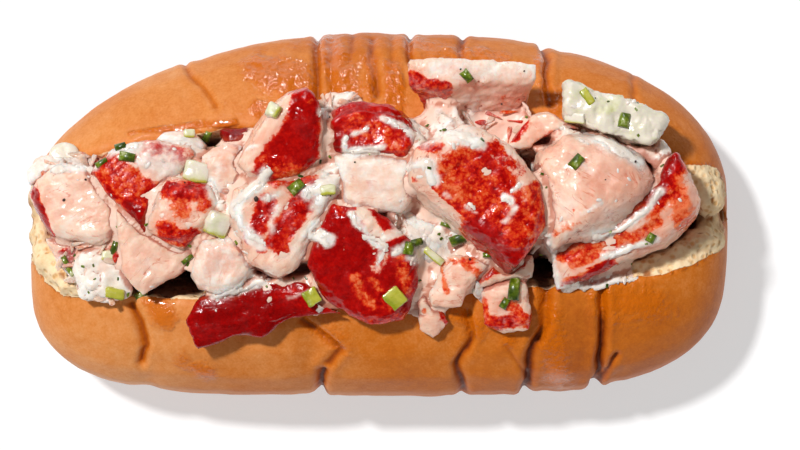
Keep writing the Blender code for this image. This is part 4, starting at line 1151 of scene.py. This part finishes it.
def cutTube(radius, length, wall, seed):  # a slice of chive: a short hollow stem
    bpy.ops.mesh.primitive_cylinder_add(vertices=16, radius=radius * mm, depth=length * mm,
                                        rotation=(0, math.pi / 2, 0))
    base = bpy.context.active_object
    bpy.ops.object.transform_apply(location=False, rotation=True, scale=False)
    bpy.ops.object.mode_set(mode="EDIT")
    bpy.ops.mesh.select_all(action="DESELECT")
    bpy.ops.mesh.select_mode(type="FACE")
    bpy.ops.object.mode_set(mode="OBJECT")
    for face in base.data.polygons:
        face.select = abs(face.normal.x) > 0.9
    bpy.ops.object.mode_set(mode="EDIT")
    bpy.ops.mesh.inset(thickness=wall * mm)
    bpy.ops.mesh.bridge_edge_loops()
    bpy.ops.mesh.select_all(action="SELECT")
    bpy.ops.mesh.normals_make_consistent(inside=False)
    bpy.ops.mesh.subdivide(number_cuts=1)
    bpy.ops.object.mode_set(mode="OBJECT")
    soften(base, 1.4, 0.22, seed)
    return base


# place in mm, turn, then length and width factors
chiveSpots = [
    (96.7, 70.2, -50, 0.8, 0.9), (95.1, 35.2, 22, 1.1, 1.15), (107.1, 24.3, 85, 1.35, 1.2),
    (105.1, 21.3, 60, 0.7, 0.8), (120.3, 51.7, 50, 0.95, 1.1), (130.7, 60.8, 80, 0.9, 1.15),
    (60.2, 46.4, 40, 1, 1.15), (40.4, 57.8, 70, 0.7, 0.8), (23.6, 52.9, -10, 1, 1),
    (22.1, 55.1, 15, 0.7, 0.7), (18, 51.6, 30, 0.8, 0.6), (136.7, 35.4, 60, 0.6, 0.9),
    (84.3, 33.2, 80, 0.8, 1.1), (85.8, 34.3, 20, 0.8, 0.8), (25.8, 23, 30, 0.8, 0.7),
    (9.5, 30.1, -60, 0.8, 0.6), (10.8, 27.9, -50, 0.7, 0.6), (20.5, 33.4, 70, 0.9, 0.7),
    (101.2, 31.7, 0, 0.5, 0.5), (36.4, 30.8, 40, 0.8, 0.5), (92.5, 38.2, -20, 0.8, 0.4)]
chiveLook = {"radius": 1.05, "length": 3.4, "wall": 0.28}


def layChives():
    base = cutTube(chiveLook["radius"], chiveLook["length"], chiveLook["wall"], 3.0)
    laid = []
    for x, y, yaw, length, width in chiveSpots:
        laid.append(layCopy(base, x, y, yaw, 0.0, (length, width, width * 0.75), 0.3, 0.6))
    dropBase(base)
    return gather(laid, "chive_slices", "celery", chiveFinish)


# place in mm, turn, length, width and height in mm, greenness, softness of the corners
celerySpots = [
    (38.6, 49.6, -12, 5.6, 4.4, 3.2, 0.12, 0.2), (42.7, 38.6, -20, 5.2, 5.4, 4.2, 0.12, 0.22),
    (8.9, 53.6, -5, 6.8, 5.2, 2.4, 0.02, 0.42), (55.5, 62.5, 60, 3.2, 3, 3.2, 0.2, 0.25),
    (89.7, 31.5, -40, 5, 1.7, 1.4, 0.35, 0.2), (19.7, 31.4, -5, 4.2, 2.2, 1.4, 0.3, 0.3),
    (36.7, 58, 0, 2.4, 1.8, 1.2, 0.3, 0.3), (20.4, 23.4, -10, 4.2, 2.4, 1.6, 0.5, 0.3),
    (63.3, 22.6, -60, 3.4, 3.2, 1.6, 0.6, 0.15), (81.3, 22.5, -50, 4.2, 3.8, 2, 0.6, 0.15),
    (122.7, 65.8, -55, 3.8, 1.8, 1.2, 0.6, 0.2), (66.9, 45.7, 5, 3.4, 2.2, 1.2, 0.25, 0.35),
    (120.1, 61.3, -5, 4.5, 2.2, 1, 0.2, 0.3)]


def layCelery():
    laid = []
    for number, (x, y, yaw, length, width, height, green, soft) in enumerate(celerySpots):
        if soft > 0.4:
            base = cutRound((length, width, height), 11.0 + number)
        else:
            base = cutCube((length, width, height), 11.0 + number, 3, soft)
        across = pointsOf(base)[:, 1] / width
        paint(base, "green", green + 0.45 * ease(-across, 0.1, 0.55))
        laid.append(layCopy(base, x, y, yaw, 6.0 - 3.0 * (number % 5), (1, 1, 1), height * 0.22, 0.65))
        dropBase(base)
    return gather(laid, "celery_dice", "celery", celeryFinish)


pepperSpots = [
    (9.6, 43.6, 1), (14.3, 48, 0.9), (95.4, 71.7, 0.6), (109.1, 71.3, 0.6), (104.4, 64.5, 0.6),
    (132.9, 51.8, 0.8), (51.5, 43.8, 1.6), (72.7, 51.7, 0.6), (36, 47.3, 0.6),
    (126.4, 47.9, 0.5), (67.3, 61.3, 0.7), (97.5, 30.7, 0.9)]


def layPepper():
    bpy.ops.mesh.primitive_ico_sphere_add(subdivisions=2, radius=0.42 * mm)
    base = bpy.context.active_object
    soften(base, 0.3, 0.12, 5.0)
    laid = []
    for x, y, width in pepperSpots:
        laid.append(layCopy(base, x, y, x * 40.0, y * 25.0, (width, width * 0.75, width * 0.6), 0.1))
    dropBase(base)
    return gather(laid, "pepper_flakes", "celery", pepperFinish)


shredLook = {"count": 45, "seed": 8, "length": (2.4, 6.0), "width": (0.5, 1.3), "thick": (0.5, 0.9)}


def layShreds():  # torn bits of lobster in the gaps
    chance = random.Random(shredLook["seed"])
    bases = []
    for number in range(6):
        base = cutCube((1.0, 1.0, 1.0), 40.0 + number, 2, 0.3)
        points = pointsOf(base)
        points[:, 2] += np.sin(points[:, 0] * 3.0 + number) * 0.18
        points[:, 1] *= 1.0 + 0.5 * np.sin(points[:, 0] * 4.0 + number * 2.0)
        movePoints(base, points)
        bases.append(base)
    laid = []
    while len(laid) < shredLook["count"]:
        x, y = chance.uniform(3, 150), chance.uniform(18, 66)
        spot, normal = dropAt(x, y)
        if spot is None or not 30.0 < spot.z < 44.0 or normal.z < 0.35 or facesUnder(x, y) >= dressingFaces:
            continue
        place = np.array([tuple(spot)])
        if x > 105.0 and y < 29.0:
            continue
        if max(strokeLevel(place, rollCorner, np.ones(3), stroke, 4)[0] for stroke in hollowStrokes) > 0.1:
            continue
        size = [chance.uniform(*shredLook[side]) for side in ("length", "width", "thick")]
        base = chance.choice(bases)
        piece = layCopy(base, x, y, chance.uniform(0, 360), chance.uniform(-25, 25), size, 0.25, 0.3)
        count = len(piece.data.vertices)
        red = chance.random() < 0.2
        paint(piece, "skin", np.full(count, 0.62 if red else chance.uniform(0.0, 0.4)))
        paint(piece, "tone", np.full(count, chance.uniform(0.3, 0.85)))
        paint(piece, "film", np.full(count, chance.uniform(0.0, 0.45)))
        paintGrain(piece, pointsOf(base) * np.array(size))
        laid.append(piece)
    for base in bases:
        dropBase(base)
    return gather(laid, "meat_shreds", "flesh", meatFinish)


dropletLook = {"count": 170, "seed": 21, "radius": (0.2, 0.6)}


def layDroplets():  # beads of dressing, thickest where it was spooned
    chance = random.Random(dropletLook["seed"])
    bpy.ops.mesh.primitive_uv_sphere_add(segments=12, ring_count=8, radius=1.0 * mm)
    base = bpy.context.active_object
    soften(base, 1.2, 0.22, 2.0)
    tries = np.array([(chance.uniform(2, 150), chance.uniform(16, 68), 0.0) for _ in range(9000)])
    levels = creamLevel(tries + rollCorner)
    laid = []
    for (x, y, _), level in zip(tries, levels):
        if len(laid) >= dropletLook["count"]:
            break
        if chance.random() > level ** 2 + 0.02:
            continue
        spot, normal = dropAt(x, y)
        if spot is None or spot.z < 26.0 or normal.z < 0.3 or facesUnder(x, y) >= fillingFaces:
            continue
        radius = chance.uniform(*dropletLook["radius"]) * chance.uniform(0.5, 1.0)
        size = (radius * chance.uniform(1.0, 2.4), radius, radius * 0.4)
        piece = layCopy(base, x, y, chance.uniform(0, 360), 0.0, size, 0.02)
        paint(piece, "pink", np.full(len(piece.data.vertices), chance.uniform(0.0, 0.35)))
        laid.append(piece)
    dropBase(base)
    return gather(laid, "dressing_beads", "dressing", dressingFinish)


for lay in (layChives, layCelery, layPepper, layFlecks, layShreds, layDroplets):
    lay()


# floor, light and camera

def makeFloor():
    bpy.ops.mesh.primitive_plane_add(size=8.0, location=(0, 0, 0))
    floor = bpy.context.active_object
    floor.name = "studio_floor"
    material, tree, shader, coords = startMaterial("paleFloor", Roughness=0.9, Specular_IOR_Level=0.0)
    shader["Base Color"].default_value = (0.5, 0.5, 0.5, 1.0)
    shader["Emission Color"].default_value = (1.0, 1.0, 1.0, 1.0)
    shader["Emission Strength"].default_value = 0.5
    floor.data.materials.append(material)


# where each lamp shines from, its strength and its width in degrees
keyLook = ((-0.42, 0.36, 1.0), 3.15, 5.0)
fillLook = ((0.1, -0.9, 0.8), 0.36, 70.0)
glintLooks = [((-0.1, 0.95, 0.2), 0.3, 5.0), ((-0.1, 0.95, 0.5), 0.35, 5.0), ((-0.2, 0.9, 0.9), 0.2, 5.0)]


def makeLamp(name, look):
    place, strength, width = look
    bpy.ops.object.light_add(type="SUN", location=place)
    lamp = bpy.context.active_object
    lamp.name = name
    lamp.data.energy = strength
    lamp.data.angle = math.radians(width)
    lamp.rotation_euler = (-Vector(place)).to_track_quat("-Z", "Y").to_euler()
    return lamp


def makeLight():
    makeLamp("key_light", keyLook)
    makeLamp("fill_light", fillLook).visible_glossy = False
    for number, look in enumerate(glintLooks):  # small lamps that show only as glints on what is wet
        lamp = makeLamp("glint_light_%d" % number, look)
        lamp.visible_diffuse = False
    world = bpy.data.worlds.new("studio")
    bpy.context.scene.world = world
    world.use_nodes = True
    tree = world.node_tree
    seen = tree.nodes["Background"]
    seen.inputs["Color"].default_value = (1, 1, 1, 1)
    seen.inputs["Strength"].default_value = 1.0
    rays = addNode(tree, "LightPath").outputs
    dull = calc(tree, "MULTIPLY", rays["Is Glossy Ray"], -0.13)
    strength = calc(tree, "ADD", dull, 0.17)
    fill = addNode(tree, "Background", {"Color": (1, 1, 1, 1), "Strength": strength})
    both = addNode(tree, "MixShader", {0: rays["Is Camera Ray"], 1: fill.outputs[0], 2: seen.outputs[0]})
    tree.links.new(both.outputs[0], tree.nodes["World Output"].inputs["Surface"])


cameraLook = {"place": (0.0048, -0.0024, 1.03), "sensor": 36, "viewWidth": 0.176, "nearest": 0.05}


def makeCamera():
    bpy.ops.object.camera_add(location=(0, 0, 1))
    camera = bpy.context.active_object
    camera.name = "overhead_camera"
    camera.location = cameraLook["place"]
    camera.rotation_euler = (0, 0, 0)
    camera.data.sensor_width = cameraLook["sensor"]
    camera.data.lens = cameraLook["sensor"] / cameraLook["viewWidth"]
    camera.data.clip_start = cameraLook["nearest"]
    bpy.context.scene.camera = camera


makeFloor()
makeLight()
makeCamera()
bpy.context.scene.view_settings.view_transform = "Standard"
